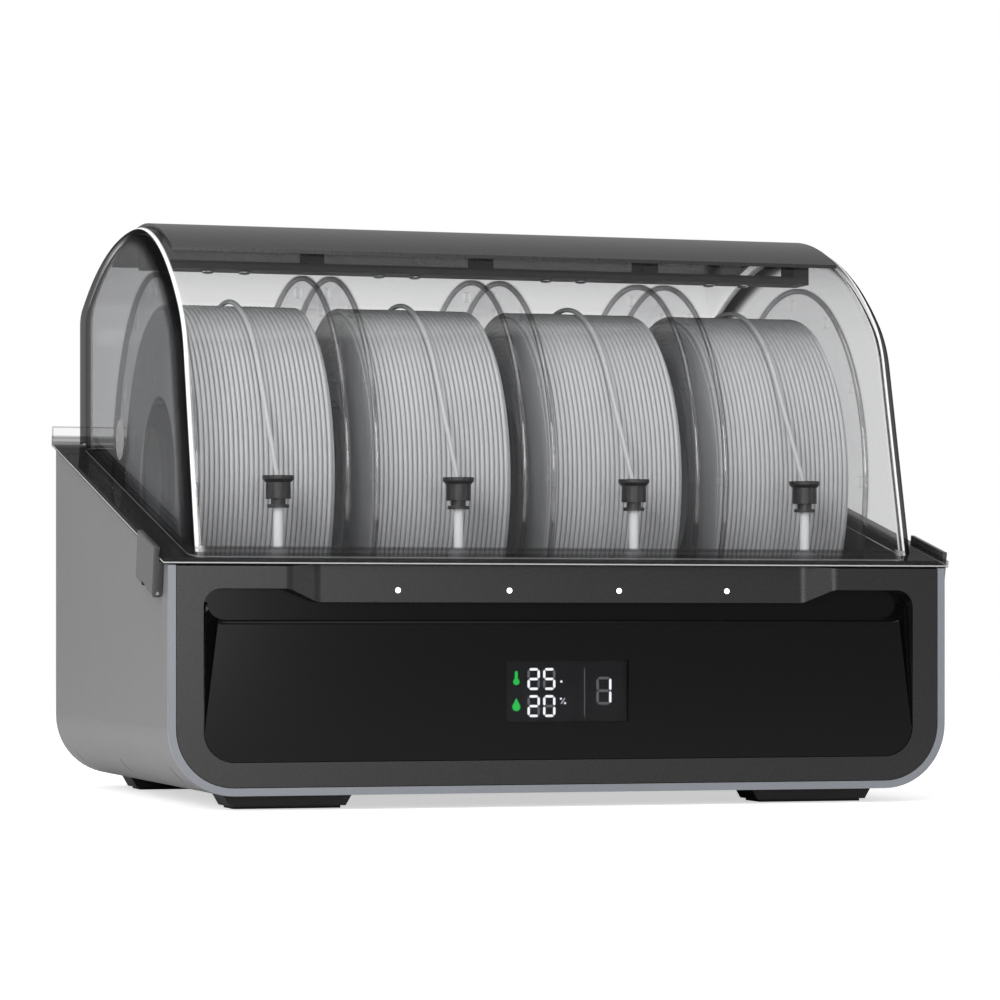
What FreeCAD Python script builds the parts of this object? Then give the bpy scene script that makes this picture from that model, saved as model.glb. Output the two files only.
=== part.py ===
import FreeCAD, Part
import math
import os
import Sketcher
from FreeCAD import Placement, Rotation, Vector

# A four-spool filament dry box: slanted body, clear domed lid, spools on rollers, feeders under the front ledge.
# Millimetres, +Z up, front face towards -Y, origin on the floor under the middle of the box.

LANES = 4
TURNS = 23
FLANGE_HOLES = 12
GEAR_TEETH = 18
COVER_SLOTS = 10

SIZES = {
    # Body of the box
    "body_width": 370.0,
    "body_depth": 287.0,
    "shell_base_z": 6.7,
    "front_rim_z": 109.2,
    "rear_rim_z": 174.2,
    "shell_wall": 3.5,
    "shell_corner": 30.0,
    "trim_depth": 2.0,
    "fit_gap": 0.3,
    "run_gap": 0.1,
    "slot_width": 1.4,
    "slot_length": 9.0,
    "slot_depth": 1.5,
    "slot_inset": 25.0,
    # Front bezel and inset panel
    "bezel_setback": 0.3,
    "bezel_depth": 10.5,
    "brow_setback": 5.0,
    "brow_half": 116.0,
    "brow_run": 13.7,
    "brow_rise": 6.0,
    "brow_round": 9.0,
    "inset_side": 16.0,
    "inset_bottom_z": 21.5,
    "inset_top_z": 99.0,
    "inset_bottom_round": 14.0,
    "inset_top_round": 8.0,
    "panel_setback": 0.6,
    "panel_skin": 2.6,
    "panel_back": 2.5,
    "panel_lap": 3.0,
    "panel_hollow_side": 22.0,
    "panel_hollow_end": 12.0,
    "groove_z": 85.0,
    "groove_end": 3.0,
    "groove_round": 7.0,
    "groove_edge_round": 2.4,
    "scoop_radius": 7.5,
    "scoop_foot": 0.4,
    "window_width": 58.5,
    "window_height": 28.0,
    "window_z": 52.7,
    "window_thickness": 2.0,
    "board_thickness": 1.6,
    "board_lap": 4.8,
    "lamp_radius": 1.2,
    "lamp_pitch": 52.4,
    "lamp_z": 98.4,
    # Feet
    "foot_top_length": 60.0,
    "foot_end_slant": 3.2,
    "foot_width": 24.0,
    "foot_side_inset": 29.0,
    "foot_front_inset": 20.0,
    "foot_rear_inset": 27.0,
    "pad_thickness": 1.2,
    "pad_margin": 2.0,
    # Spools and windings
    "lane_margin": 30.0,
    "spool_width": 74.0,
    "spool_radius": 100.0,
    "spool_inset": 143.0,
    "spool_z": 151.5,
    "flange_thickness": 3.0,
    "drum_radius": 40.0,
    "drum_wall": 3.0,
    "hub_radius": 27.0,
    "flange_hole_radius": 2.6,
    "flange_hole_circle": 92.0,
    "winding_radius": 85.0,
    "strand_diameter": 2.3,
    # Tray and rollers
    "tray_wall": 3.0,
    "tray_side_wall": 5.0,
    "tray_floor_z": 46.0,
    "tray_inset": 12.5,
    "ledge_z": 112.0,
    "ledge_depth": 34.5,
    "well_length": 200.0,
    "shelf_z": 150.0,
    "tray_rear_wall": 5.0,
    "roller_angle": 38.0,
    "roller_radius": 8.0,
    "roller_core_radius": 6.0,
    "roller_tyre": 7.0,
    "axle_radius": 4.0,
    "bracket_thickness": 6.0,
    "bracket_radius": 9.0,
    # Lid
    "overall_height": 276.0,
    "lid_side_inset": 9.7,
    "lid_front_inset": 10.0,
    "lid_rear_inset": 6.0,
    "lid_wall": 2.8,
    "lid_foot_z": 112.0,
    "lid_lean": 15.5,
    "lid_brow_radius": 48.0,
    "lid_crown_radius": 158.0,
    "lid_back_radius": 260.0,
    "lid_rear_radius": 16.0,
    "lid_crown_inset": 160.0,
    "lid_corner": 10.0,
    "rim_thickness": 3.0,
    "rim_overhang": 2.0,
    "rim_gap": 0.4,
    "rim_bar_height": 10.0,
    "rim_bar_width": 4.5,
    "cover_proud": 1.6,
    "cover_gap": 0.05,
    "cover_front_inset": 88.0,
    "cover_length": 150.0,
    "cover_side_inset": 10.0,
    "rail_width": 18.0,
    "rail_height": 4.0,
    "rail_clear": 1.6,
    "rail_post": 8.0,
    "rail_end_gap": 4.0,
    "seal_width": 3.4,
    "seal_height": 1.6,
    "seal_sink": 1.3,
    "seal_margin": 0.8,
    # Lid hinge
    "hinge_offset": 115.0,
    "hinge_reach": 7.5,
    "hinge_rise": 2.8,
    "hinge_ear_radius": 5.5,
    "hinge_ear": 8.0,
    "hinge_knuckle": 23.4,
    "hinge_pin_radius": 2.5,
    "hinge_plate": 3.0,
    "hinge_plate_height": 28.0,
    "hinge_notch": 3.0,
    # Side latches
    "latch_start": 9.0,
    "latch_length": 40.0,
    "latch_proud": 4.75,
    "latch_stand": 0.35,
    "latch_top": 6.0,
    "latch_pin_drop": 15.0,
    "latch_pin_out": 2.2,
    "latch_pin_radius": 0.8,
    "latch_heel": 1.6,
    "latch_heel_round": 1.4,
    "latch_round": 1.0,
    "latch_skin": 1.1,
    "latch_lug": 10.0,
    "latch_lug_height": 4.0,
    "latch_window": 0.6,
    # Filament inlets and feeders
    "inlet_inset": 33.0,
    "funnel_top_z": 150.6,
    "funnel_flare_radius": 7.25,
    "funnel_mouth_radius": 6.2,
    "funnel_lip": 1.6,
    "funnel_radius": 5.75,
    "funnel_height": 10.6,
    "funnel_cone": 7.6,
    "throat_radius": 1.7,
    "collar_radius": 5.0,
    "collar_height": 1.5,
    "neck_height": 2.5,
    "neck_radius": 3.4,
    "tube_radius": 2.2,
    "tube_bore_radius": 1.2,
    "tube_socket": 3.4,
    "grommet_radius": 5.5,
    "grommet_height": 6.0,
    "lead_gap": 0.45,
    "lead_bend": 14.0,
    "lead_bend_z": 143.0,
    "lead_end_z": 140.5,
    "lead_wrap": 100.0,
    "feeder_z": 77.0,
    "feeder_height": 30.0,
    "feeder_left": 16.0,
    "feeder_right": 22.0,
    "feeder_plate": 2.0,
    "feeder_web": 2.5,
    "feeder_rear_plate": 4.0,
    "feeder_depth": 16.5,
    "feeder_shoe": 6.0,
    "feeder_shoe_height": 14.0,
    "pinch_gap": 0.1,
    "gear_radius": 6.0,
    "gear_width": 6.0,
    "tooth_depth": 0.6,
    "shaft_radius": 1.5,
    "shaft_sink": 5.5,
    "motor_radius": 11.0,
    "motor_length": 13.5,
    # Hub, outlet and electronics
    "hub_inset": 236.0,
    "hub_length": 26.0,
    "hub_width": 44.0,
    "hub_top_z": 36.0,
    "port_z": 24.0,
    "port_pitch": 10.0,
    "port_depth": 8.0,
    "tube_bend": 20.0,
    "tube_sweep": 45.0,
    "tube_turn_inset": 92.0,
    "tube_gather_inset": 205.0,
    "coupling_reach": 27.0,
    "coupling_stem_radius": 4.0,
    "coupling_body_radius": 6.5,
    "coupling_nut_radius": 8.5,
    "coupling_nut": 9.0,
    "coupling_ring_radius": 5.0,
    "coupling_ring": 7.0,
    "coupling_bore_radius": 2.05,
    "socket_offset": 60.0,
    "socket_pitch": 30.0,
    "socket_width": 14.0,
    "socket_height": 9.0,
    "socket_length": 9.5,
    "socket_proud": 1.5,
    "socket_wall": 1.2,
    "socket_pocket": 6.5,
    "mainboard_length": 120.0,
    "mainboard_width": 78.0,
    "mainboard_inset": 112.0,
    "standoff_height": 3.2,
    "standoff_radius": 3.0,
    "standoff_margin": 6.0,
    "chip_side": 16.0,
    "chip_height": 1.8,
    "header_length": 30.0,
    "header_width": 6.0,
    "header_height": 4.5,
    # Desiccant boxes on the rear shelf
    "dry_box_length": 120.0,
    "dry_box_width": 25.0,
    "dry_box_height": 14.0,
    "dry_box_wall": 1.6,
    "dry_box_offset": 30.0,
    "dry_box_gap": 1.5,
    "dry_cover_thickness": 2.0,
    "dry_slot_width": 3.0,
    "dry_slot_margin": 5.0,
}

doc = FreeCAD.newDocument("filament_dry_box")
sheet = doc.addObject("Spreadsheet::Sheet", "Sizes")
for row, (alias, value) in enumerate(SIZES.items(), start=1):
    sheet.set(f"A{row}", alias.replace("_", " "))
    sheet.set(f"B{row}", str(value))
    sheet.setAlias(f"B{row}", alias)
doc.recompute()


# Sizes as expressions over the sheet

class Size:
    """A length worked out from the sheet's cells, kept as the text of its expression."""

    def __init__(self, text):
        self.text = text

    def __float__(self):
        return float(sheet.evalExpression(self.text))

    def __add__(self, other):
        return Size(f"({self.text} + {written(other)})")

    def __radd__(self, other):
        return Size(f"({written(other)} + {self.text})")

    def __sub__(self, other):
        return Size(f"({self.text} - {written(other)})")

    def __rsub__(self, other):
        return Size(f"({written(other)} - {self.text})")

    def __mul__(self, other):
        return Size(f"({self.text} * {written(other)})")

    def __rmul__(self, other):
        return Size(f"({written(other)} * {self.text})")

    def __truediv__(self, other):
        return Size(f"({self.text} / {written(other)})")

    def __neg__(self):
        return Size(f"(0 - {self.text})")


class Cells:
    """Gives each aliased cell of the sheet as a Size."""

    def __getattr__(self, alias):
        if alias not in SIZES:
            raise AttributeError(alias)
        return Size(f"Sizes.{alias}")


S = Cells()


def written(value):
    """The text of a size or of a plain number."""
    return value.text if isinstance(value, Size) else repr(float(value))


def root_of(value):
    """Square root of a size."""
    return Size(f"sqrt({written(value)})")


def sine(angle):
    """Sine of a size that counts degrees."""
    return Size(f"sin({written(angle)} * 1 deg)")


def cosine(angle):
    """Cosine of a size that counts degrees."""
    return Size(f"cos({written(angle)} * 1 deg)")


def bind(item, prop, value):
    """Drive one property of a document object from the sheet."""
    item.setExpression(prop, written(value))


# Shared places

front_y = -(S.body_depth + S.coupling_reach) / 2
rear_y = front_y + S.body_depth
half_width = S.body_width / 2
inner_half = half_width - S.shell_wall
shell_floor_z = S.shell_base_z + S.shell_wall
rim_rise = S.rear_rim_z - S.front_rim_z
rim_run = root_of(rim_rise * rim_rise + S.body_depth * S.body_depth)
rim_sine = rim_rise / rim_run
rim_cosine = S.body_depth / rim_run
rim_slope = rim_rise / S.body_depth
spool_y = front_y + S.spool_inset
spool_pitch = (S.body_width - S.lane_margin) / LANES
inlet_y = front_y + S.inlet_inset
hinge_y = rear_y + S.hinge_reach
hinge_z = S.rear_rim_z + S.hinge_rise
roller_reach = S.spool_radius + S.roller_radius + S.fit_gap
roller_z = S.spool_z - roller_reach * cosine(S.roller_angle)
roller_run = roller_reach * sine(S.roller_angle)
panel_back_y = front_y + S.bezel_setback + S.bezel_depth + S.fit_gap


def behind(distance):
    """Y of a plane that lies this far behind the front face."""
    return front_y + distance


def rim_z(y):
    """Height of the slanted parting plane at a place along Y."""
    return S.front_rim_z + (y - front_y) * rim_slope


def on_rim(along, out):
    """Y and Z of a point in the parting plane's own frame: along its slope, and square out of it."""
    y = front_y + along * rim_cosine - out * rim_sine
    z = S.front_rim_z + along * rim_sine + out * rim_cosine
    return y, z


def lane_x(lane):
    """X of the middle of a spool, counted from the left."""
    return spool_pitch * (lane - (LANES - 1) / 2)


SUBPARTS = []


def subpart(label, item):
    """Name a finished sub-part, which is then written to its own file."""
    item.Label = label
    SUBPARTS.append(item)
    return item


# Primitives and booleans

def box(name, low, size):
    """A box from its lowest corner."""
    item = doc.addObject("Part::Box", name)
    for prop, value in zip(("Length", "Width", "Height"), size):
        bind(item, prop, value)
    for axis, value in zip("xyz", low):
        bind(item, f"Placement.Base.{axis}", value)
    return item


def rim_box(name, x, along, out, size):
    """A box that lies in the parting plane's frame, from its lowest corner there."""
    y, z = on_rim(along, out)
    item = box(name, (x, y, z), size)
    item.Placement = Placement(item.Placement.Base, Rotation(Vector(1, 0, 0), 1))
    item.setExpression("Placement.Rotation.Angle", f"atan({rim_slope.text})")
    return item


AXIS_TURN = {
    "x": Rotation(Vector(0, 1, 0), 90),
    "y": Rotation(Vector(1, 0, 0), -90),
    "z": Rotation(),
}


def rod(name, start, axis, radius, length):
    """A cylinder from the middle of its first face, along one axis."""
    item = doc.addObject("Part::Cylinder", name)
    item.Placement = Placement(Vector(), AXIS_TURN[axis])
    bind(item, "Radius", radius)
    bind(item, "Height", length)
    for letter, value in zip("xyz", start):
        bind(item, f"Placement.Base.{letter}", value)
    return item


def fuse(name, shapes):
    """One solid from several."""
    item = doc.addObject("Part::MultiFuse", name)
    item.Shapes = shapes
    item.Refine = True
    return item


def cut(name, base, tools):
    """A solid with one or more tools taken away."""
    item = doc.addObject("Part::Cut", name)
    item.Base = base
    item.Tool = tools[0] if len(tools) == 1 else fuse(f"{name}_tools", tools)
    return item


def common(name, shapes):
    """What two solids share."""
    item = doc.addObject("Part::MultiCommon", name)
    item.Shapes = shapes
    return item


def group(name, shapes):
    """Separate solids kept together in one sub-part."""
    item = doc.addObject("Part::Compound", name)
    item.Links = shapes
    return item


# Sketches and features

def new_body(name):
    """An empty body."""
    return doc.addObject("PartDesign::Body", name)


def new_sketch(body, plane, name, offset=0):
    """A sketch on one of the body's origin planes, moved along that plane's normal."""
    sketch = body.newObject("Sketcher::SketchObject", name)
    support = next(item for item in body.Origin.OriginFeatures if item.Role == plane)
    sketch.AttachmentSupport = (support, [""])
    sketch.MapMode = "FlatFace"
    bind(sketch, "AttachmentOffset.Base.z", offset)
    return sketch


def front_sketch(body, name, y):
    """A sketch that is drawn from the front, in X and Z, on the plane at y."""
    return new_sketch(body, "XZ_Plane", name, -y)


def pin_point(sketch, shape, point, across, up):
    """Hold a sketch point at its distances from the sketch's origin."""
    for kind, value, axis in (("DistanceX", across, -2), ("DistanceY", up, -1)):
        if isinstance(value, (int, float)) and value == 0:
            sketch.addConstraint(Sketcher.Constraint("PointOnObject", shape, point, axis))
            continue
        index = sketch.addConstraint(Sketcher.Constraint(kind, -1, 1, shape, point, float(value)))
        bind(sketch, f"Constraints[{index}]", value)


def polygon(sketch, points):
    """A closed outline of straight lines whose corners are held by the sheet."""
    first = sketch.GeometryCount
    count = len(points)
    corners = [Vector(float(across), float(up), 0) for across, up in points]
    for index in range(count):
        sketch.addGeometry(Part.LineSegment(corners[index], corners[(index + 1) % count]))
    for index in range(count):
        following = first + (index + 1) % count
        sketch.addConstraint(Sketcher.Constraint("Coincident", first + index, 2, following, 1))
    for index, (across, up) in enumerate(points):
        pin_point(sketch, first + index, 1, across, up)


def rectangle(sketch, left, low, right, high):
    """A rectangle from its two corners."""
    polygon(sketch, [(left, low), (right, low), (right, high), (left, high)])


def circle(sketch, across, up, radius):
    """A circle whose middle and radius are held by the sheet."""
    centre = Vector(float(across), float(up), 0)
    shape = sketch.addGeometry(Part.Circle(centre, Vector(0, 0, 1), float(radius)))
    pin_point(sketch, shape, 3, across, up)
    index = sketch.addConstraint(Sketcher.Constraint("Radius", shape, float(radius)))
    bind(sketch, f"Constraints[{index}]", radius)


def pad(body, sketch, name, length, symmetric=False, backward=False):
    """Raise a sketch, to both sides alike or against its normal where asked."""
    feature = body.newObject("PartDesign::Pad", name)
    feature.Profile = sketch
    bind(feature, "Length", length)
    feature.Midplane = symmetric
    feature.Reversed = backward
    return feature


def pocket(body, sketch, name, length=None, symmetric=False, backward=False):
    """Cut a sketch into the body, right through where no length is given."""
    feature = body.newObject("PartDesign::Pocket", name)
    feature.Profile = sketch
    if length is None:
        feature.Type = "ThroughAll"
    else:
        bind(feature, "Length", length)
    feature.Midplane = symmetric
    feature.Reversed = backward
    return feature


def revolve(body, sketch, name, axis):
    """Turn a sketch right round one of its own axes."""
    feature = body.newObject("PartDesign::Revolution", name)
    feature.Profile = sketch
    feature.ReferenceAxis = (sketch, [axis])
    feature.Angle = 360
    return feature


def round_edges(body, base, name, radius, chosen):
    """Round the edges of a feature whose middle point passes a test."""
    doc.recompute()
    names = []
    for index, edge in enumerate(base.Shape.Edges, start=1):
        middle = edge.valueAt((edge.FirstParameter + edge.LastParameter) / 2)
        if chosen(middle, edge):
            names.append(f"Edge{index}")
    feature = body.newObject("PartDesign::Fillet", name)
    feature.Base = (base, names)
    bind(feature, "Radius", radius)
    doc.recompute()
    return feature


def near(value, size):
    """True where a coordinate lies on a size."""
    return abs(value - float(size)) < 0.01


def between(value, low, high):
    """True where a coordinate lies from one size to another."""
    return float(low) - 0.01 < value < float(high) + 0.01


def straight_along(edge, axis):
    """True for a straight edge along a unit vector."""
    if edge.Curve.TypeId != "Part::GeomLine":
        return False
    return abs(abs(edge.Curve.Direction.dot(axis)) - 1) < 1e-6


def place(body, x, y, z):
    """Put a body that was drawn about its own axis where it belongs."""
    for axis, value in zip("xyz", (x, y, z)):
        bind(body, f"Placement.Base.{axis}", value)


ALONG_Y = Vector(0, 1, 0)


def trim_above_rim(body, name, drop):
    """Cut away everything above the parting plane lowered by a drop."""
    sketch = new_sketch(body, "YZ_Plane", f"{name}_outline")
    fore = front_y - S.shell_corner
    aft = rear_y + S.shell_corner
    above = S.overall_height * 2
    polygon(sketch, [(fore, rim_z(fore) - drop), (aft, rim_z(aft) - drop), (aft, above), (fore, above)])
    return pocket(body, sketch, name, symmetric=True)


# Outer casing

def casing_section(body, name, start_y, length):
    """The U section of the casing with its rounded lower corners, from start_y towards the rear."""
    sketch = front_sketch(body, f"{name}_outline", start_y)
    top = S.rear_rim_z + S.shell_wall
    polygon(sketch, [
        (-half_width, top), (-half_width, S.shell_base_z), (half_width, S.shell_base_z), (half_width, top),
        (inner_half, top), (inner_half, shell_floor_z), (-inner_half, shell_floor_z), (-inner_half, top),
    ])
    raised = pad(body, sketch, name, length, backward=True)
    outer = round_edges(
        body, raised, f"{name}_corner", S.shell_corner,
        lambda middle, edge: straight_along(edge, ALONG_Y) and near(middle.z, S.shell_base_z))
    return round_edges(
        body, outer, f"{name}_inner_corner", S.shell_corner - S.shell_wall,
        lambda middle, edge: straight_along(edge, ALONG_Y) and near(middle.z, shell_floor_z)
        and near(abs(middle.x), inner_half))


def corner_slot(name, side, y):
    """A slit cutter that lies across a rounded lower corner, half way round it."""
    reach = S.shell_corner * math.sqrt(0.5)
    depth = S.slot_depth * 2
    centre_x = (half_width - S.shell_corner + reach) * side
    centre_z = S.shell_base_z + S.shell_corner - reach
    item = box(name, (0, 0, 0), (S.slot_length, S.slot_width, depth))
    item.Placement = Placement(Vector(), Rotation(Vector(0, 1, 0), -45 * side))
    half_diagonal = math.sqrt(0.5) / 2
    shift_x = (S.slot_length - depth * side) * half_diagonal
    shift_z = (S.slot_length * side + depth) * half_diagonal
    bind(item, "Placement.Base.x", centre_x - shift_x)
    bind(item, "Placement.Base.y", y - S.slot_width / 2)
    bind(item, "Placement.Base.z", centre_z - shift_z)
    return item


def latch_lug(side):
    """The lug on the casing's side that carries a latch's pin."""
    start = S.latch_start + (S.latch_length - S.latch_lug) / 2
    depth = S.latch_proud - S.latch_skin - S.fit_gap
    x = half_width if side > 0 else -half_width - depth
    low = -(S.latch_pin_drop + S.latch_lug_height / 2)
    block = rim_box(f"latch_lug_{side + 1}", x, start, low, (depth, S.latch_lug, S.latch_lug_height))
    return block


def latch_pin(name, side, radius, start, length):
    """A rod along a latch's pivot, which follows the parting plane's slope."""
    y, z = on_rim(start, -S.latch_pin_drop)
    item = rod(name, ((half_width + S.latch_pin_out) * side, y, z), "y", radius, length)
    item.Placement = Placement(item.Placement.Base, Rotation(Vector(-1, 0, 0), 90))
    item.setExpression("Placement.Rotation.Angle", f"90 deg - atan({rim_slope.text})")
    return item


def outer_shell():
    """Grey U-shaped casing: two sides and the bottom, with slits in the lower corners and latch lugs."""
    body = new_body("shell_blank")
    casing_section(body, "shell_section", front_y + S.trim_depth, S.body_depth - S.trim_depth)
    trim_above_rim(body, "shell_top", 0)
    slot_run = S.body_depth / 2 - S.slot_inset
    middle = (front_y + rear_y) / 2
    slots = []
    for side in (-1, 1):
        for step in (-1, 0, 1):
            slots.append(corner_slot(f"slit_{side + 1}_{step + 1}", side, middle + slot_run * step))
    lugs = [latch_lug(side) for side in (-1, 1)]
    bores = [
        latch_pin(f"lug_bore_{side + 1}", side, S.latch_pin_radius + S.run_gap, S.latch_start, S.latch_length)
        for side in (-1, 1)
    ]
    joined = fuse("shell_with_lugs", [body] + lugs)
    return subpart("outer_shell", cut("shell_cut", joined, slots + bores))


def front_trim():
    """Pale strip that edges the front of the casing."""
    body = new_body("trim_body")
    casing_section(body, "trim_section", front_y, S.trim_depth)
    trim_above_rim(body, "trim_top", 0)
    return subpart("front_trim", body)


def rear_panel():
    """Flat rear wall with holes for the outlet and the sockets."""
    body = new_body("rear_panel_body")
    start = rear_y - S.shell_wall
    sketch = front_sketch(body, "rear_outline", start)
    reach = inner_half - S.fit_gap
    low = shell_floor_z + S.fit_gap
    rectangle(sketch, -reach, low, reach, S.rear_rim_z)
    raised = pad(body, sketch, "rear_plate", S.shell_wall, backward=True)
    round_edges(
        body, raised, "rear_corner", S.shell_corner - S.shell_wall - S.fit_gap,
        lambda middle, edge: straight_along(edge, ALONG_Y) and near(middle.z, low))
    trim_above_rim(body, "rear_top", 0)
    holes = front_sketch(body, "rear_holes", start)
    circle(holes, 0, S.port_z, S.coupling_stem_radius + S.run_gap)
    for index in range(2):
        x = -(S.socket_offset + S.socket_pitch * index)
        width = S.socket_width / 2 + S.run_gap
        height = S.socket_height / 2 + S.run_gap
        rectangle(holes, x - width, S.port_z - height, x + width, S.port_z + height)
    pocket(body, holes, "rear_openings", symmetric=True)
    return subpart("rear_panel", body)


# Front bezel and the inset panel

def seal_ring(name, grow):
    """The lid seal's ring in the parting plane's frame, grown on all sides for its groove."""
    side = inner_half - S.fit_gap - S.seal_margin + grow
    start = (S.bezel_setback + S.brow_setback + S.seal_margin) / rim_cosine - grow
    end = (S.body_depth - S.shell_wall - S.fit_gap - S.seal_margin) / rim_cosine + grow
    low = -S.seal_sink - grow
    height = S.seal_height + grow * 2
    width = S.seal_width + grow * 2
    outer = rim_box(f"{name}_outer", -side, start, low, (side * 2, end - start, height))
    inner = rim_box(
        f"{name}_inner", width - side, start + width, low - S.seal_height,
        (side * 2 - width * 2, end - start - width * 2, height * 3))
    return cut(name, outer, [inner])


def front_bezel(groove):
    """Dark frame round the inset panel, set back in the middle as a finger notch under the lid."""
    body = new_body("bezel_blank")
    start = front_y + S.bezel_setback
    reach = inner_half - S.fit_gap
    low = shell_floor_z + S.fit_gap
    sketch = front_sketch(body, "bezel_outline", start)
    rectangle(sketch, -reach, low, reach, S.front_rim_z + S.bezel_depth)
    raised = pad(body, sketch, "bezel_plate", S.bezel_depth, backward=True)
    round_edges(
        body, raised, "bezel_corner", S.shell_corner - S.shell_wall - S.fit_gap,
        lambda middle, edge: straight_along(edge, ALONG_Y) and near(middle.z, low))
    trim_above_rim(body, "bezel_top", S.fit_gap)

    opening = front_sketch(body, "inset_outline", start)
    side = half_width - S.inset_side
    top = S.inset_top_z
    brow = S.inset_top_z - S.brow_rise
    shoulder = S.brow_half + S.brow_run
    polygon(opening, [
        (-side, S.inset_bottom_z), (side, S.inset_bottom_z), (side, top), (shoulder, top),
        (S.brow_half, brow), (-S.brow_half, brow), (-shoulder, top), (-side, top),
    ])
    window = pocket(body, opening, "inset_opening", symmetric=True)
    soft = round_edges(
        body, window, "brow_rounds", S.brow_round,
        lambda middle, edge: straight_along(edge, ALONG_Y) and between(middle.z, brow, top)
        and between(middle.x, -shoulder, shoulder))
    corners = round_edges(
        body, soft, "inset_top_rounds", S.inset_top_round,
        lambda middle, edge: straight_along(edge, ALONG_Y) and near(abs(middle.x), side)
        and near(middle.z, top))
    round_edges(
        body, corners, "inset_bottom_rounds", S.inset_bottom_round,
        lambda middle, edge: straight_along(edge, ALONG_Y) and near(abs(middle.x), side)
        and near(middle.z, S.inset_bottom_z))

    notch = new_sketch(body, "XY_Plane", "brow_outline", (S.inset_bottom_z + brow) / 2)
    ahead = front_y - S.bezel_depth
    back = start + S.brow_setback
    polygon(notch, [
        (-shoulder, ahead), (shoulder, ahead), (shoulder, start),
        (S.brow_half, back), (-S.brow_half, back), (-shoulder, start),
    ])
    cove = pocket(body, notch, "brow_notch", backward=True)
    upright = Vector(0, 0, 1)
    round_edges(
        body, cove, "brow_ramps", S.brow_round,
        lambda middle, edge: straight_along(edge, upright) and between(middle.z, brow, S.front_rim_z)
        and (near(middle.y, back) or near(middle.y, start)) and between(middle.x, -shoulder, shoulder))

    lamps = front_sketch(body, "lamp_holes", start)
    for index in range(LANES):
        x = S.lamp_pitch * (index - (LANES - 1) / 2)
        circle(lamps, x, S.lamp_z, S.lamp_radius + S.run_gap)
    pocket(body, lamps, "lamp_openings", symmetric=True)
    return subpart("front_bezel", cut("bezel_cut", body, [groove]))


def front_panel():
    """Glossy inset panel: a face with scooped ends, and a finger groove above it, backed by a plate."""
    body = new_body("panel_blank")
    start = front_y + S.panel_setback
    back = panel_back_y
    side = half_width - S.inset_side - S.fit_gap
    low = S.inset_bottom_z + S.fit_gap
    top = S.inset_top_z - S.brow_rise
    groove = side - S.groove_end
    face = front_sketch(body, "panel_outline", start)
    polygon(face, [
        (-side, low), (side, low), (side, top), (groove, top), (groove, S.groove_z),
        (-groove, S.groove_z), (-groove, top), (-side, top),
    ])
    raised = pad(body, face, "panel_face", back - start, backward=True)
    foot = round_edges(
        body, raised, "panel_foot_rounds", S.inset_bottom_round - S.fit_gap,
        lambda middle, edge: straight_along(edge, ALONG_Y) and near(middle.z, low))
    cove = round_edges(
        body, foot, "groove_end_rounds", S.groove_round,
        lambda middle, edge: straight_along(edge, ALONG_Y) and near(middle.z, S.groove_z))
    across = Vector(1, 0, 0)
    round_edges(
        body, cove, "groove_edge", S.groove_edge_round,
        lambda middle, edge: straight_along(edge, across) and near(middle.z, S.groove_z)
        and near(middle.y, start))
    plate = front_sketch(body, "panel_plate_outline", back)
    wide = side + S.panel_lap
    rectangle(plate, -wide, low - S.panel_lap, wide, S.inset_top_z + S.panel_lap)
    pad(body, plate, "panel_plate", S.panel_back, backward=True)
    hollow = front_sketch(body, "panel_hollow_outline", back + S.panel_back)
    rectangle(
        hollow, S.panel_hollow_side - side, low + S.panel_hollow_end,
        side - S.panel_hollow_side, S.groove_z - S.panel_hollow_end)
    pocket(body, hollow, "panel_hollow", back + S.panel_back - start - S.panel_skin, backward=True)
    window = front_sketch(body, "window_outline", start)
    half = S.window_width / 2
    tall = S.window_height / 2
    rectangle(window, -half, S.window_z - tall, half, S.window_z + tall)
    pocket(body, window, "window_opening", symmetric=True)
    scoops = []
    for end in (-1, 1):
        scoop = doc.addObject("Part::Cone", f"panel_scoop_{end + 1}")
        bind(scoop, "Radius1", S.scoop_foot)
        bind(scoop, "Radius2", S.scoop_radius)
        bind(scoop, "Height", top - low - S.inset_bottom_round)
        bind(scoop, "Placement.Base.x", side * end)
        bind(scoop, "Placement.Base.y", start)
        bind(scoop, "Placement.Base.z", low + S.inset_bottom_round)
        scoops.append(scoop)
    return subpart("front_panel", cut("panel_cut", body, scoops))


def display_window():
    """Smoked lens in the inset panel."""
    half = S.window_width / 2 - S.run_gap
    tall = S.window_height / 2 - S.run_gap
    low = (-half, front_y + S.panel_setback, S.window_z - tall)
    return subpart("display_window", box("window_lens", low, (half * 2, S.window_thickness, tall * 2)))


def display_board():
    """Circuit board behind the lens, with its dark segment block in the window."""
    start = front_y + S.panel_setback + S.panel_skin
    half = S.window_width / 2
    tall = S.window_height / 2
    wide = half + S.board_lap
    high = tall + S.board_lap
    board = box("display_card", (-wide, start, S.window_z - high), (wide * 2, S.board_thickness, high * 2))
    block_depth = S.panel_skin - S.window_thickness - S.run_gap
    block = box(
        "segment_block", (S.fit_gap - half, start - block_depth, S.window_z - tall + S.fit_gap),
        (half * 2 - S.fit_gap * 2, block_depth, tall * 2 - S.fit_gap * 2))
    return subpart("display_board", fuse("display_card_with_block", [board, block]))


def light_pipes():
    """Four small round indicator lenses in the brow."""
    start = front_y + S.bezel_setback + S.brow_setback
    rods = []
    for index in range(LANES):
        x = S.lamp_pitch * (index - (LANES - 1) / 2)
        rods.append(rod(f"lamp_{index + 1}", (x, start, S.lamp_z), "y", S.lamp_radius, panel_back_y - start))
    return subpart("light_pipes", group("lamp_group", rods))


# Feet

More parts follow.
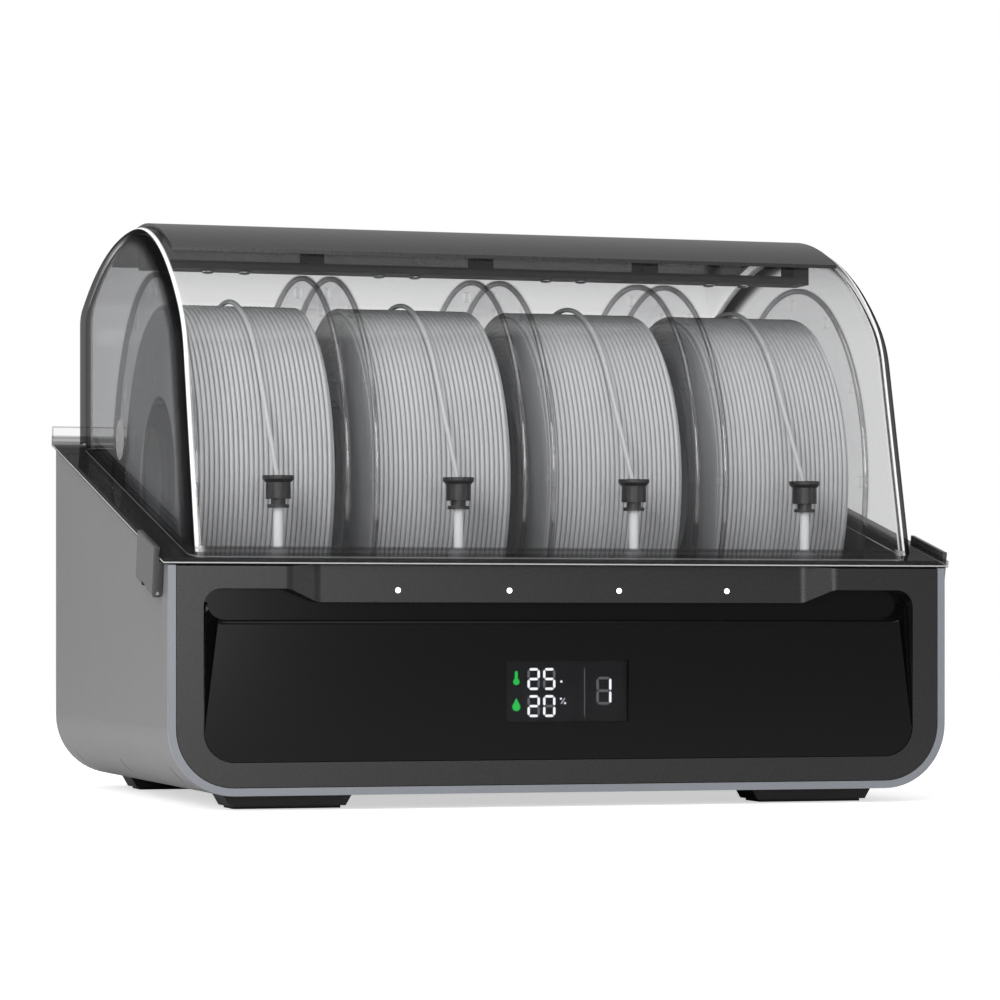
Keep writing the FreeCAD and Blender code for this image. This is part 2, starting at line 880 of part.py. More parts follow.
def feet():
    """Four slanted foot blocks under the casing, each with a soft pad."""
    blocks = []
    pads = []
    long_half = S.foot_top_length / 2
    short_half = long_half - S.foot_end_slant
    centre_x = half_width - S.foot_side_inset - long_half
    rows = (behind(S.foot_front_inset), rear_y - S.foot_rear_inset - S.foot_width)
    for row_index, y in enumerate(rows):
        for side in (-1, 1):
            mark = f"{row_index}_{side + 1}"
            body = new_body(f"foot_{mark}")
            sketch = front_sketch(body, f"foot_outline_{mark}", 0)
            polygon(sketch, [
                (-short_half, S.pad_thickness), (short_half, S.pad_thickness),
                (long_half, S.shell_base_z), (-long_half, S.shell_base_z),
            ])
            pad(body, sketch, f"foot_block_{mark}", S.foot_width, backward=True)
            place(body, centre_x * side, y, 0)
            blocks.append(body)
            pad_half = short_half - S.pad_margin
            pads.append(box(
                f"pad_{mark}", (centre_x * side - pad_half, y + S.pad_margin, 0),
                (pad_half * 2, S.foot_width - S.pad_margin * 2, S.pad_thickness)))
    subpart("foot_blocks", group("foot_block_group", blocks))
    subpart("foot_pads", group("foot_pad_group", pads))


# Spool tray, rollers and their brackets

def spool_tray(groove):
    """Moulded inner tray: front ledge, spool well and rear shelf, between two side walls."""
    body = new_body("tray_blank")
    wide = inner_half - S.fit_gap
    fore = behind(S.tray_inset)
    well = fore + S.ledge_depth
    well_end = well + S.well_length
    aft = rear_y - S.shell_wall - S.fit_gap
    wall = S.tray_wall
    floor = S.tray_floor_z
    section = new_sketch(body, "YZ_Plane", "tray_section")
    above = S.rear_rim_z + S.shell_wall
    lip = aft - S.tray_rear_wall
    polygon(section, [
        (fore, S.ledge_z), (well, S.ledge_z), (well, floor), (well_end, floor), (well_end, S.shelf_z),
        (lip, S.shelf_z), (lip, above), (aft, above), (aft, S.shelf_z - wall), (well_end + wall, S.shelf_z - wall),
        (well_end + wall, floor - wall), (well - wall, floor - wall), (well - wall, S.ledge_z - wall),
        (fore, S.ledge_z - wall),
    ])
    pad(body, section, "tray_sheet", wide * 2, symmetric=True)
    for mark, offset in (("left", -wide), ("right", wide - S.tray_side_wall)):
        cheek = new_sketch(body, "YZ_Plane", f"tray_{mark}_outline", offset)
        rectangle(cheek, fore, floor - wall, aft, above)
        pad(body, cheek, f"tray_{mark}_wall", S.tray_side_wall)
    trim_above_rim(body, "tray_top", S.fit_gap)
    holes = new_sketch(body, "XY_Plane", "tube_holes", S.ledge_z)
    for lane in range(LANES):
        circle(holes, lane_x(lane), inlet_y, S.tube_radius + S.run_gap)
    pocket(body, holes, "tube_openings", S.tray_wall * 2, symmetric=True)
    return subpart("spool_tray", cut("tray_cut", body, [groove]))


def roller_brackets():
    """Upright plates between the spools that carry the roller ends."""
    plates = []
    for row in (-1, 1):
        y = spool_y + roller_run * row
        for column in range(LANES + 1):
            mark = f"{row + 1}_{column}"
            x = spool_pitch * (column - LANES / 2) - S.bracket_thickness / 2
            foot = box(
                f"bracket_foot_{mark}", (x, y - S.bracket_radius, S.tray_floor_z),
                (S.bracket_thickness, S.bracket_radius * 2, roller_z - S.tray_floor_z))
            head = rod(f"bracket_head_{mark}", (x, y, roller_z), "x", S.bracket_radius, S.bracket_thickness)
            bore = rod(
                f"bracket_bore_{mark}", (x, y, roller_z), "x", S.axle_radius + S.run_gap, S.bracket_thickness)
            plates.append(cut(f"bracket_{mark}", fuse(f"bracket_blank_{mark}", [foot, head]), [bore]))
    return subpart("roller_brackets", group("bracket_group", plates))


def roller(lane, row, label):
    """One support roller with a tyre under each flange and stub axles in the brackets."""
    body = new_body(f"{label}_body")
    sketch = new_sketch(body, "XY_Plane", f"{label}_outline")
    drum = (spool_pitch - S.bracket_thickness) / 2 - S.fit_gap
    end = spool_pitch / 2 - S.fit_gap
    inner = drum - S.roller_tyre
    polygon(sketch, [
        (-end, 0), (end, 0), (end, S.axle_radius), (drum, S.axle_radius), (drum, S.roller_radius),
        (inner, S.roller_radius), (inner, S.roller_core_radius), (-inner, S.roller_core_radius),
        (-inner, S.roller_radius), (-drum, S.roller_radius), (-drum, S.axle_radius), (-end, S.axle_radius),
    ])
    revolve(body, sketch, f"{label}_turned", "H_Axis")
    place(body, lane_x(lane), spool_y + roller_run * row, roller_z)
    return subpart(label, body)


# Spools and their windings

def spool(lane):
    """Clear spool: two flanges with a ring of small holes, on a hollow drum."""
    label = f"spool_{lane + 1}"
    body = new_body(f"{label}_body")
    half = S.spool_width / 2
    inner = half - S.flange_thickness
    bore = S.drum_radius - S.drum_wall
    sketch = new_sketch(body, "XY_Plane", f"{label}_outline")
    polygon(sketch, [
        (-half, S.hub_radius), (-half, S.spool_radius), (-inner, S.spool_radius), (-inner, S.drum_radius),
        (inner, S.drum_radius), (inner, S.spool_radius), (half, S.spool_radius), (half, S.hub_radius),
        (inner, S.hub_radius), (inner, bore), (-inner, bore), (-inner, S.hub_radius),
    ])
    revolve(body, sketch, f"{label}_turned", "H_Axis")
    hole = new_sketch(body, "YZ_Plane", f"{label}_hole")
    circle(hole, 0, S.flange_hole_circle, S.flange_hole_radius)
    first = pocket(body, hole, f"{label}_first_hole", symmetric=True)
    ring = body.newObject("PartDesign::PolarPattern", f"{label}_holes")
    ring.Originals = [first]
    ring.Axis = (next(item for item in body.Origin.OriginFeatures if item.Role == "X_Axis"), [""])
    ring.Angle = 360
    ring.Occurrences = FLANGE_HOLES
    body.Tip = ring
    place(body, lane_x(lane), spool_y, S.spool_z)
    return subpart(label, body)


def winding(lane):
    """The filament on the drum: one ring whose rim is ridged like the turns of its outer layer."""
    label = f"winding_{lane + 1}"
    body = new_body(f"{label}_body")
    half = S.spool_width / 2 - S.flange_thickness - S.fit_gap
    inner = S.drum_radius + S.run_gap
    valley = S.winding_radius - S.strand_diameter / 2
    outline = [(half, inner), (-half, inner), (-half, valley)]
    for turn in range(TURNS):
        outline.append((half * ((turn * 2 + 1) / TURNS - 1), S.winding_radius))
        outline.append((half * ((turn * 2 + 2) / TURNS - 1), valley))
    sketch = new_sketch(body, "XY_Plane", f"{label}_outline")
    polygon(sketch, outline)
    revolve(body, sketch, f"{label}_turned", "H_Axis")
    place(body, lane_x(lane), spool_y, S.spool_z)
    return subpart(label, body)


def tangent_arc(start, corner, end):
    """The arc that leaves start towards corner and reaches end, with both tangents equally long."""
    middle = (start + end) * 0.5
    half_chord = (end - start).Length / 2
    slant = math.acos(min(1.0, half_chord / (corner - start).Length))
    rise = (corner - middle).normalize() * (half_chord * math.tan(slant / 2))
    return Part.Arc(start, middle + rise, end).toShape()


def tube_along(edges, radius):
    """A round solid swept along a path of lines and arcs, square to its start."""
    path = Part.Wire(edges)
    first = edges[0]
    start = first.valueAt(first.FirstParameter)
    ring = Part.Circle(start, first.tangentAt(first.FirstParameter), radius)
    section = Part.Wire([ring.toShape()])
    return path.makePipeShell([section], True, False)


def shaped(label, shape):
    """A sub-part whose shape is worked out here from the sheet."""
    item = doc.addObject("Part::Feature", f"{label}_shape")
    item.Shape = shape
    item.Placement = Placement()
    return subpart(label, item)


def filament_leads():
    """The strand of each spool, over the winding and straight down into its funnel."""
    strand = float(S.strand_diameter)
    wrap = float(S.winding_radius) + strand / 2 + float(S.lead_gap)
    bend = float(S.lead_bend)
    reel = Vector(0, float(spool_y), float(S.spool_z))
    turn = Vector(0, float(inlet_y) + bend, float(S.lead_bend_z))
    apart = turn - reel
    steep = math.acos((wrap - bend) / math.hypot(apart.y, apart.z)) - math.atan2(-apart.z, -apart.y)

    def on_circle(centre, radius, angle):
        return centre + Vector(0, -radius * math.cos(angle), radius * math.sin(angle))

    top = math.radians(float(S.lead_wrap))
    begin = on_circle(reel, wrap, top)
    leave = on_circle(reel, wrap, steep)
    meet = on_circle(turn, bend, steep)
    down = on_circle(turn, bend, 0)
    edges = [
        Part.Arc(begin, on_circle(reel, wrap, (top + steep) / 2), leave).toShape(),
        Part.LineSegment(leave, meet).toShape(),
        Part.Arc(meet, on_circle(turn, bend, steep / 2), down).toShape(),
        Part.LineSegment(down, Vector(0, down.y, float(S.lead_end_z))).toShape(),
    ]
    lead = tube_along(edges, strand / 2)
    copies = []
    for lane in range(LANES):
        copy = lead.copy()
        copy.translate(Vector(float(lane_x(lane)), 0, 0))
        copies.append(copy)
    return shaped("filament_leads", Part.Compound(copies))


# Filament inlets on the front ledge

def turned_group(label, profile, places):
    """Alike pieces turned about an upright axis, drawn in radius and height."""
    copies = []
    for index, (x, y) in enumerate(places):
        body = new_body(f"{label}_{index + 1}_body")
        sketch = new_sketch(body, "XZ_Plane", f"{label}_{index + 1}_outline")
        polygon(sketch, profile)
        revolve(body, sketch, f"{label}_{index + 1}_turned", "V_Axis")
        place(body, x, y, 0)
        copies.append(body)
    return subpart(label, group(f"{label}_group", copies))


def inlets():
    """Funnels with collars, white feed tubes and rounded grommets, one set for each spool."""
    places = [(lane_x(lane), inlet_y) for lane in range(LANES)]
    top = S.funnel_top_z
    seat = top - S.funnel_height
    collar_top = seat - S.neck_height
    collar_low = collar_top - S.collar_height
    socket_top = collar_low + S.tube_socket
    socket = S.tube_radius + S.run_gap
    turned_group("inlet_funnels", [
        (S.funnel_mouth_radius, top), (S.funnel_flare_radius, top), (S.funnel_flare_radius, top - S.funnel_lip),
        (S.funnel_radius, top - S.funnel_lip * 2), (S.funnel_radius, seat), (S.neck_radius, seat),
        (S.neck_radius, collar_top), (S.collar_radius, collar_top), (S.collar_radius, collar_low),
        (socket, collar_low), (socket, socket_top), (S.throat_radius, socket_top),
        (S.throat_radius, top - S.funnel_cone),
    ], places)
    tube_low = S.feeder_z + S.feeder_height / 2 - S.feeder_web
    turned_group("feed_tubes", [
        (S.tube_bore_radius, socket_top), (S.tube_radius, socket_top),
        (S.tube_radius, tube_low), (S.tube_bore_radius, tube_low),
    ], places)
    dome = S.grommet_height
    side = S.grommet_radius
    turned_group("tube_grommets", [
        (socket, S.ledge_z), (side, S.ledge_z), (side, S.ledge_z + dome * 0.35),
        (side * 0.85, S.ledge_z + dome * 0.72), (side * 0.55, S.ledge_z + dome), (socket, S.ledge_z + dome),
    ], places)


# Feeders under the front ledge

feeder_back_y = behind(S.tray_inset) + S.ledge_depth - S.tray_wall
feeder_front_y = feeder_back_y - S.feeder_depth
gear_offset = S.gear_radius + S.strand_diameter / 2 + S.pinch_gap


def feeders():
    """Frame, motor and toothed drive gear of each lane, on the tray's front wall."""
    frames = []
    motors = []
    low = S.feeder_z - S.feeder_height / 2
    wide = S.feeder_left + S.feeder_right
    room_y = feeder_front_y + S.feeder_plate
    room_depth = S.feeder_depth - S.feeder_plate - S.feeder_rear_plate
    room_height = S.feeder_height - S.feeder_web * 2
    for lane in range(LANES):
        mark = lane + 1
        x = lane_x(lane)
        gear_x = x + gear_offset
        block = box(f"feeder_block_{mark}", (x - S.feeder_left, feeder_front_y, low),
                    (wide, S.feeder_depth, S.feeder_height))
        room = box(f"feeder_room_{mark}", (x - S.feeder_left, room_y, low + S.feeder_web),
                   (wide, room_depth, room_height))
        shaft = rod(f"feeder_shaft_bore_{mark}", (gear_x, feeder_front_y, S.feeder_z), "y",
                    S.shaft_radius + S.run_gap, S.feeder_plate)
        path = rod(f"feeder_tube_bore_{mark}", (x, inlet_y, low), "z",
                   S.tube_radius + S.run_gap, S.feeder_height)
        open_frame = cut(f"feeder_open_{mark}", block, [room, shaft, path])
        shoe_x = x - S.strand_diameter / 2 - S.pinch_gap - S.feeder_shoe
        shoe = box(f"feeder_shoe_{mark}", (shoe_x, room_y, S.feeder_z - S.feeder_shoe_height / 2),
                   (S.feeder_shoe, room_depth, S.feeder_shoe_height))
        frames.append(fuse(f"feeder_frame_{mark}", [open_frame, shoe]))
        can = rod(f"motor_can_{mark}", (gear_x, feeder_front_y - S.motor_length, S.feeder_z), "y",
                  S.motor_radius, S.motor_length)
        bore = rod(f"motor_bore_{mark}", (gear_x, feeder_front_y - S.shaft_sink, S.feeder_z), "y",
                   S.shaft_radius + S.run_gap, S.shaft_sink)
        motors.append(cut(f"motor_{mark}", can, [bore]))
        drive_gear(lane, gear_x, room_y, room_depth)
    subpart("feeder_frames", group("feeder_frame_group", frames))
    subpart("feed_motors", group("feed_motor_group", motors))


def drive_gear(lane, x, room_y, room_depth):
    """Toothed wheel on its shaft, which pushes the strand down against the shoe."""
    label = f"drive_gear_{lane + 1}"
    body = new_body(f"{label}_body")
    half = S.gear_width / 2
    middle = room_y + room_depth / 2
    shaft_low = feeder_front_y - S.shaft_sink + S.fit_gap - middle
    shaft_high = room_depth / 2 - S.fit_gap
    sketch = new_sketch(body, "XY_Plane", f"{label}_outline")
    polygon(sketch, [
        (0, shaft_low), (S.shaft_radius, shaft_low), (S.shaft_radius, -half), (S.gear_radius, -half),
        (S.gear_radius, half), (S.shaft_radius, half), (S.shaft_radius, shaft_high), (0, shaft_high),
    ])
    revolve(body, sketch, f"{label}_turned", "V_Axis")
    tooth = new_sketch(body, "XZ_Plane", f"{label}_tooth")
    root = S.gear_radius - S.tooth_depth
    polygon(tooth, [(0, root), (S.tooth_depth, S.gear_radius + S.tooth_depth),
                    (-S.tooth_depth, S.gear_radius + S.tooth_depth)])
    first = pocket(body, tooth, f"{label}_first_tooth", symmetric=True)
    ring = body.newObject("PartDesign::PolarPattern", f"{label}_teeth")
    ring.Originals = [first]
    ring.Axis = (next(item for item in body.Origin.OriginFeatures if item.Role == "Y_Axis"), [""])
    ring.Angle = 360
    ring.Occurrences = GEAR_TEETH
    body.Tip = ring
    place(body, x, middle, S.feeder_z)
    return subpart(label, body)


# Hub, outlet and electronics

def routed_tube(points, bends):
    """Straight runs joined by tangent arcs, as the edges of one path."""
    edges = []
    start = points[0]
    for index in range(1, len(points) - 1):
        corner = points[index]
        arrive = (corner - points[index - 1]).normalize()
        leave = (points[index + 1] - corner).normalize()
        half_turn = arrive.getAngle(leave) / 2
        reach = bends[index - 1] * math.tan(half_turn)
        begin = corner - arrive * reach
        end = corner + leave * reach
        edges.append(Part.LineSegment(start, begin).toShape())
        edges.append(tangent_arc(begin, corner, end))
        start = end
    edges.append(Part.LineSegment(start, points[-1]).toShape())
    return edges


def hub_tubes():
    """Tubes from the feeders under the tray to the merging hub."""
    tubes = []
    start_z = float(S.feeder_z - S.feeder_height / 2 + S.feeder_web)
    level = float(S.port_z)
    bends = [float(S.tube_bend), float(S.tube_sweep), float(S.tube_sweep)]
    for lane in range(LANES):
        x = float(lane_x(lane))
        port = float(S.port_pitch) * (lane - (LANES - 1) / 2)
        points = [
            Vector(x, float(inlet_y), start_z),
            Vector(x, float(inlet_y), level),
            Vector(x, float(behind(S.tube_turn_inset)), level),
            Vector(port, float(behind(S.tube_gather_inset)), level),
            Vector(port, float(behind(S.hub_inset) + S.port_depth), level),
        ]
        edges = routed_tube(points, bends)
        outer = tube_along(edges, float(S.tube_radius))
        inner = tube_along(edges, float(S.tube_bore_radius))
        tubes.append(outer.cut(inner))
    return shaped("hub_tubes", Part.Compound(tubes))


def merge_hub():
    """Block in which the four paths meet, with ports for the tubes and the outlet."""
    start = behind(S.hub_inset)
    block = box("hub_block", (-S.hub_width / 2, start, shell_floor_z),
                (S.hub_width, S.hub_length, S.hub_top_z - shell_floor_z))
    bores = []
    for lane in range(LANES):
        x = S.port_pitch * (lane - (LANES - 1) / 2)
        bores.append(rod(f"hub_port_{lane + 1}", (x, start, S.port_z), "y",
                         S.tube_radius + S.run_gap, S.port_depth))
    bores.append(rod("hub_outlet", (0, start + S.port_depth * 2, S.port_z), "y",
                     S.tube_bore_radius, S.hub_length - S.port_depth * 2))
    return subpart("merge_hub", cut("hub_cut", block, bores))


def outlet_coupling():
    """Push-in tube coupling on the rear panel: stem to the hub, nut, body and release ring."""
    body = new_body("coupling_body")
    stem_start = behind(S.hub_inset) + S.hub_length
    tip = rear_y + S.coupling_reach
    nut_end = rear_y + S.coupling_nut
    ring_start = tip - S.coupling_ring
    bore = S.coupling_bore_radius
    sketch = new_sketch(body, "XY_Plane", "coupling_outline")
    polygon(sketch, [
        (bore, stem_start), (S.coupling_stem_radius, stem_start), (S.coupling_stem_radius, rear_y),
        (S.coupling_nut_radius, rear_y), (S.coupling_nut_radius, nut_end), (S.coupling_body_radius, nut_end),
        (S.coupling_body_radius, ring_start), (S.coupling_ring_radius, ring_start),
        (S.coupling_ring_radius, tip), (bore, tip),
    ])
    revolve(body, sketch, "coupling_turned", "V_Axis")
    place(body, 0, 0, S.port_z)
    return subpart("outlet_coupling", body)


def data_sockets():
    """Two low-voltage sockets in the rear panel."""
    sockets = []
    for index in range(2):
        x = -(S.socket_offset + S.socket_pitch * index)
        end = rear_y + S.socket_proud
        shell = box(f"socket_shell_{index}", (x - S.socket_width / 2, end - S.socket_length,
                                              S.port_z - S.socket_height / 2),
                    (S.socket_width, S.socket_length, S.socket_height))
        wall = S.socket_wall
        mouth = box(f"socket_mouth_{index}", (x - S.socket_width / 2 + wall, end - S.socket_pocket,
                                              S.port_z - S.socket_height / 2 + wall),
                    (S.socket_width - wall * 2, S.socket_pocket, S.socket_height - wall * 2))
        sockets.append(cut(f"socket_{index}", shell, [mouth]))
    return subpart("data_sockets", group("socket_group", sockets))


def main_board():
    """Controller board on stand-offs, with its chips and plug headers."""
    pieces = []
    long_half = S.mainboard_length / 2
    start = behind(S.mainboard_inset)
    board_z = shell_floor_z + S.standoff_height
    top = board_z + S.board_thickness
    pieces.append(box("controller_card", (-long_half, start, board_z),
                      (S.mainboard_length, S.mainboard_width, S.board_thickness)))
    for side in (-1, 1):
        for end in (0, 1):
            x = (long_half - S.standoff_margin) * side
            y = start + S.standoff_margin + (S.mainboard_width - S.standoff_margin * 2) * end
            pieces.append(rod(f"standoff_{side + 1}_{end}", (x, y, shell_floor_z), "z",
                              S.standoff_radius, S.standoff_height))
        chip_x = long_half / 2 * side - S.chip_side / 2
        pieces.append(box(f"chip_{side + 1}", (chip_x, start + S.mainboard_width / 3, top),
                          (S.chip_side, S.chip_side, S.chip_height)))
        header_x = long_half / 2 * side - S.header_length / 2
        pieces.append(box(f"header_{side + 1}", (header_x, start + S.mainboard_width - S.header_width, top),
                          (S.header_length, S.header_width, S.header_height)))
    return subpart("main_board", group("controller_group", pieces))


def desiccant():
    """Two open boxes for drying beads on the rear shelf, each under a slotted cover."""
    boxes = []
    covers = []
    fore = behind(S.tray_inset) + S.ledge_depth + S.well_length + S.dry_box_gap
    wall = S.dry_box_wall
    for side in (-1, 1):
        x = S.dry_box_offset if side > 0 else -S.dry_box_offset - S.dry_box_length
        shell = box(f"dry_shell_{side + 1}", (x, fore, S.shelf_z),
                    (S.dry_box_length, S.dry_box_width, S.dry_box_height))
        room = box(f"dry_room_{side + 1}", (x + wall, fore + wall, S.shelf_z + wall),
                   (S.dry_box_length - wall * 2, S.dry_box_width - wall * 2, S.dry_box_height))
        boxes.append(cut(f"dry_box_{side + 1}", shell, [room]))
        lid = box(f"dry_lid_{side + 1}", (x, fore, S.shelf_z + S.dry_box_height),
                  (S.dry_box_length, S.dry_box_width, S.dry_cover_thickness))
        run = S.dry_box_length - S.dry_slot_margin * 2
        slots = []
        for index in range(COVER_SLOTS):
            slot_x = x + S.dry_slot_margin + run * ((index + 0.5) / COVER_SLOTS) - S.dry_slot_width / 2
            slots.append(box(
                f"dry_slot_{side + 1}_{index}",
                (slot_x, fore + S.dry_slot_margin, S.shelf_z + S.dry_box_height),
                (S.dry_slot_width, S.dry_box_width - S.dry_slot_margin * 2, S.dry_cover_thickness)))
        covers.append(cut(f"dry_cover_{side + 1}", lid, slots))
    subpart("desiccant_boxes", group("dry_box_group", boxes))
    subpart("desiccant_covers", group("dry_cover_group", covers))


# Lid

def dome(name, inset, half, low):
    """The lid's side profile raised across X: leaning front, brow, crown, back and rear wall.

    A positive inset shrinks the profile inwards, a negative one grows it, and low is the closing height
    below the parting plane.
    """
    body = new_body(name)
    sketch = new_sketch(body, "YZ_Plane", f"{name}_profile")
    lean = math.radians(float(S.lid_lean))
    square_in = Vector(math.cos(lean), -math.sin(lean), 0)
    upward = Vector(math.sin(lean), math.cos(lean), 0)
    crown_y = front_y + S.lid_crown_inset
    crown_z = S.overall_height - S.cover_proud
    rear = rear_y - S.lid_rear_inset
    brow_radius = S.lid_brow_radius - inset
    crown_radius = S.lid_crown_radius - inset
    back_radius = S.lid_back_radius - inset
    rear_radius = S.lid_rear_radius - inset

    foot = Vector(float(front_y + S.lid_front_inset), float(S.lid_foot_z), 0)
    crown_middle = Vector(float(crown_y), float(crown_z - S.lid_crown_radius), 0)
    back_middle = Vector(float(crown_y), float(crown_z - S.lid_back_radius), 0)
    brow_line = foot + square_in * float(S.lid_brow_radius)
    apart = brow_line - crown_middle
    between = float(S.lid_crown_radius - S.lid_brow_radius)
    slide = -apart.dot(upward) + math.sqrt(apart.dot(upward) ** 2 - apart.dot(apart) + between ** 2)
    brow_middle = brow_line + upward * slide
    rear_run = float(rear - S.lid_rear_radius - crown_y)
    rear_span = float(S.lid_back_radius - S.lid_rear_radius)
    rear_middle = back_middle + Vector(rear_run, math.sqrt(rear_span ** 2 - rear_run ** 2), 0)

    start_y = foot.x + float(inset) / math.cos(lean)
    start_z = foot.y
    drop = float(low)
    start_low = float(rim_z(front_y + S.lid_front_inset)) - drop
    begin = Vector(start_y - (start_z - start_low) * math.tan(lean), start_low, 0)
    front_end = brow_middle - square_in * float(brow_radius)
    brow_end = crown_middle + (brow_middle - crown_middle).normalize() * float(crown_radius)
    crown_end = Vector(float(crown_y), float(crown_z - inset), 0)
    back_end = back_middle + (rear_middle - back_middle).normalize() * float(back_radius)
    rear_end = Vector(float(rear - inset), rear_middle.y, 0)
    end = Vector(float(rear - inset), float(rim_z(rear)) - drop, 0)

    def arc(middle, radius, first, last):
        """An arc that runs clockwise from first to last."""
        ring = Part.Circle(middle, Vector(0, 0, 1), radius)
        return Part.ArcOfCircle(ring, ring.parameter(last), ring.parameter(first))

    front = sketch.addGeometry(Part.LineSegment(begin, front_end))
    brow = sketch.addGeometry(arc(brow_middle, float(brow_radius), front_end, brow_end))
    crown = sketch.addGeometry(arc(crown_middle, float(crown_radius), brow_end, crown_end))
    back = sketch.addGeometry(arc(back_middle, float(back_radius), crown_end, back_end))
    corner = sketch.addGeometry(arc(rear_middle, float(rear_radius), back_end, rear_end))
    wall = sketch.addGeometry(Part.LineSegment(rear_end, end))
    sole = sketch.addGeometry(Part.LineSegment(end, begin))

    def link(kind, *places):
        sketch.addConstraint(Sketcher.Constraint(kind, *places))

    link("Tangent", front, 2, brow, 2)
    link("Tangent", brow, 1, crown, 2)
    link("Tangent", crown, 1, back, 2)
    link("Tangent", back, 1, corner, 2)
    link("Tangent", corner, 1, wall, 1)
    link("Coincident", wall, 2, sole, 1)
    link("Coincident", sole, 2, front, 1)
    link("Vertical", wall)
    for shape, radius in ((brow, brow_radius), (crown, crown_radius), (back, back_radius), (corner, rear_radius)):
        index = sketch.addConstraint(Sketcher.Constraint("Radius", shape, float(radius)))
        bind(sketch, f"Constraints[{index}]", radius)
    pin_point(sketch, crown, 3, crown_y, crown_z - S.lid_crown_radius)
    top_x = sketch.addConstraint(Sketcher.Constraint("DistanceX", -1, 1, back, 2, float(crown_y)))
    bind(sketch, f"Constraints[{top_x}]", crown_y)
    foot_low = rim_z(front_y + S.lid_front_inset) - low
    foot_back = front_y + S.lid_front_inset + inset / cosine(S.lid_lean)
    foot_out = (S.lid_foot_z - foot_low) * sine(S.lid_lean) / cosine(S.lid_lean)
    pin_point(sketch, front, 1, foot_back - foot_out, foot_low)
    pin_point(sketch, wall, 2, rear - inset, rim_z(rear) - low)
    tilt = sketch.addConstraint(Sketcher.Constraint("Angle", front, math.pi / 2 - lean))
    sketch.setExpression(f"Constraints[{tilt}]", f"(90 - {S.lid_lean.text}) * 1 deg")
    raised = pad(body, sketch, f"{name}_raised", half * 2, symmetric=True)
    return body, raised


def round_ends(body, raised, name, half, radius):
    """Round the lid's end faces into its front, crown and rear."""
    return round_edges(
        body, raised, name, radius,
        lambda middle, edge: near(abs(middle.x), half)
        and not (edge.Curve.TypeId == "Part::GeomLine" and abs(edge.Curve.Direction.y) > 0.9))


def lid():
    """Clear dome with its rim, the opaque top cover, the inner rail and the hinge knuckles."""
    half = half_width - S.lid_side_inset
    inner_half_lid = half - S.lid_wall
    shell, shell_raised = dome("lid_outer", Size("0"), half, -S.rim_thickness / 2)
    round_ends(shell, shell_raised, "lid_outer_rounds", half, S.lid_corner)
    hollow, hollow_raised = dome("lid_hollow", S.lid_wall, inner_half_lid, S.rim_bar_height)
    round_ends(hollow, hollow_raised, "lid_hollow_rounds", inner_half_lid, S.lid_corner - S.lid_wall)

    rim_half = half_width + S.rim_overhang
    rim_start = (S.rim_gap + S.rim_thickness) * rim_slope
    rim_end = (S.body_depth + S.rim_overhang) / rim_cosine
    rim = rim_box("lid_rim", -rim_half, rim_start, S.rim_gap,
                  (rim_half * 2, rim_end - rim_start, S.rim_thickness))
    bar = rim_box("lid_rim_bar", -rim_half, rim_end - S.rim_bar_width, S.rim_gap,
                  (rim_half * 2, S.rim_bar_width, S.rim_bar_height))
    notches = []
    notch_y = rear_y - S.hinge_notch
    notch_half = S.hinge_knuckle / 2 + S.fit_gap + S.hinge_ear + S.fit_gap
    for side in (-1, 1):
        notches.append(box(
            f"hinge_notch_{side + 1}", (S.hinge_offset * side - notch_half, notch_y, S.front_rim_z),
            (notch_half * 2, S.hinge_plate_height, S.overall_height - S.front_rim_z)))
    joined = fuse("lid_joined", [shell, rim, bar])
    subpart("lid_shell", cut("lid_cut", joined, [hollow] + notches))

    cover_half = half - S.cover_side_inset
    grown, _ = dome("cover_outer", -S.cover_proud, cover_half, S.rim_thickness)
    skin, _ = dome("cover_inner", -S.cover_gap, half, S.rim_bar_height)
    sheet_ring = cut("cover_ring", grown, [skin])
    span = box("cover_span", (-half, behind(S.cover_front_inset), S.spool_z),
               (half * 2, S.cover_length, S.overall_height - S.spool_z + S.cover_proud))
    subpart("lid_cover", common("cover_piece", [sheet_ring, span]))

    rail_z = S.spool_z + S.spool_radius + S.rail_clear
    rail_half = inner_half_lid - S.rail_end_gap
    rail_y = spool_y - S.rail_width / 2
    strip = box("rail_strip", (-rail_half, rail_y, rail_z), (rail_half * 2, S.rail_width, S.rail_height))
    posts = []
    between_spools = [spool_pitch * (column - LANES / 2) for column in range(1, LANES)]
    end_post = rail_half - S.rail_post / 2
    for column, middle in enumerate([-end_post] + between_spools + [end_post]):
        tall = box(f"rail_post_{column}", (middle - S.rail_post / 2, rail_y, rail_z),
                   (S.rail_post, S.rail_width, S.overall_height - rail_z))
        posts.append(common(f"rail_post_cut_{column}", [tall, hollow]))
    subpart("lid_rail", fuse("rail_joined", [strip] + posts))

    knuckles = []
    for side in (-1, 1):
        x = S.hinge_offset * side - S.hinge_knuckle / 2
        arm_low = S.rear_rim_z + S.rim_gap
        arm = box(f"knuckle_arm_{side + 1}", (x, notch_y, arm_low),
                  (S.hinge_knuckle, hinge_y - notch_y, S.rim_thickness + S.hinge_rise))
        barrel = rod(f"knuckle_barrel_{side + 1}", (x, hinge_y, hinge_z), "x",
                     S.hinge_ear_radius, S.hinge_knuckle)
        bore = rod(f"knuckle_bore_{side + 1}", (x, hinge_y, hinge_z), "x",
                   S.hinge_pin_radius + S.run_gap, S.hinge_knuckle)
        blank = fuse(f"knuckle_blank_{side + 1}", [arm, barrel])
        knuckles.append(cut(f"knuckle_{side + 1}", blank, [bore]))
    subpart("lid_knuckles", group("knuckle_group", knuckles))


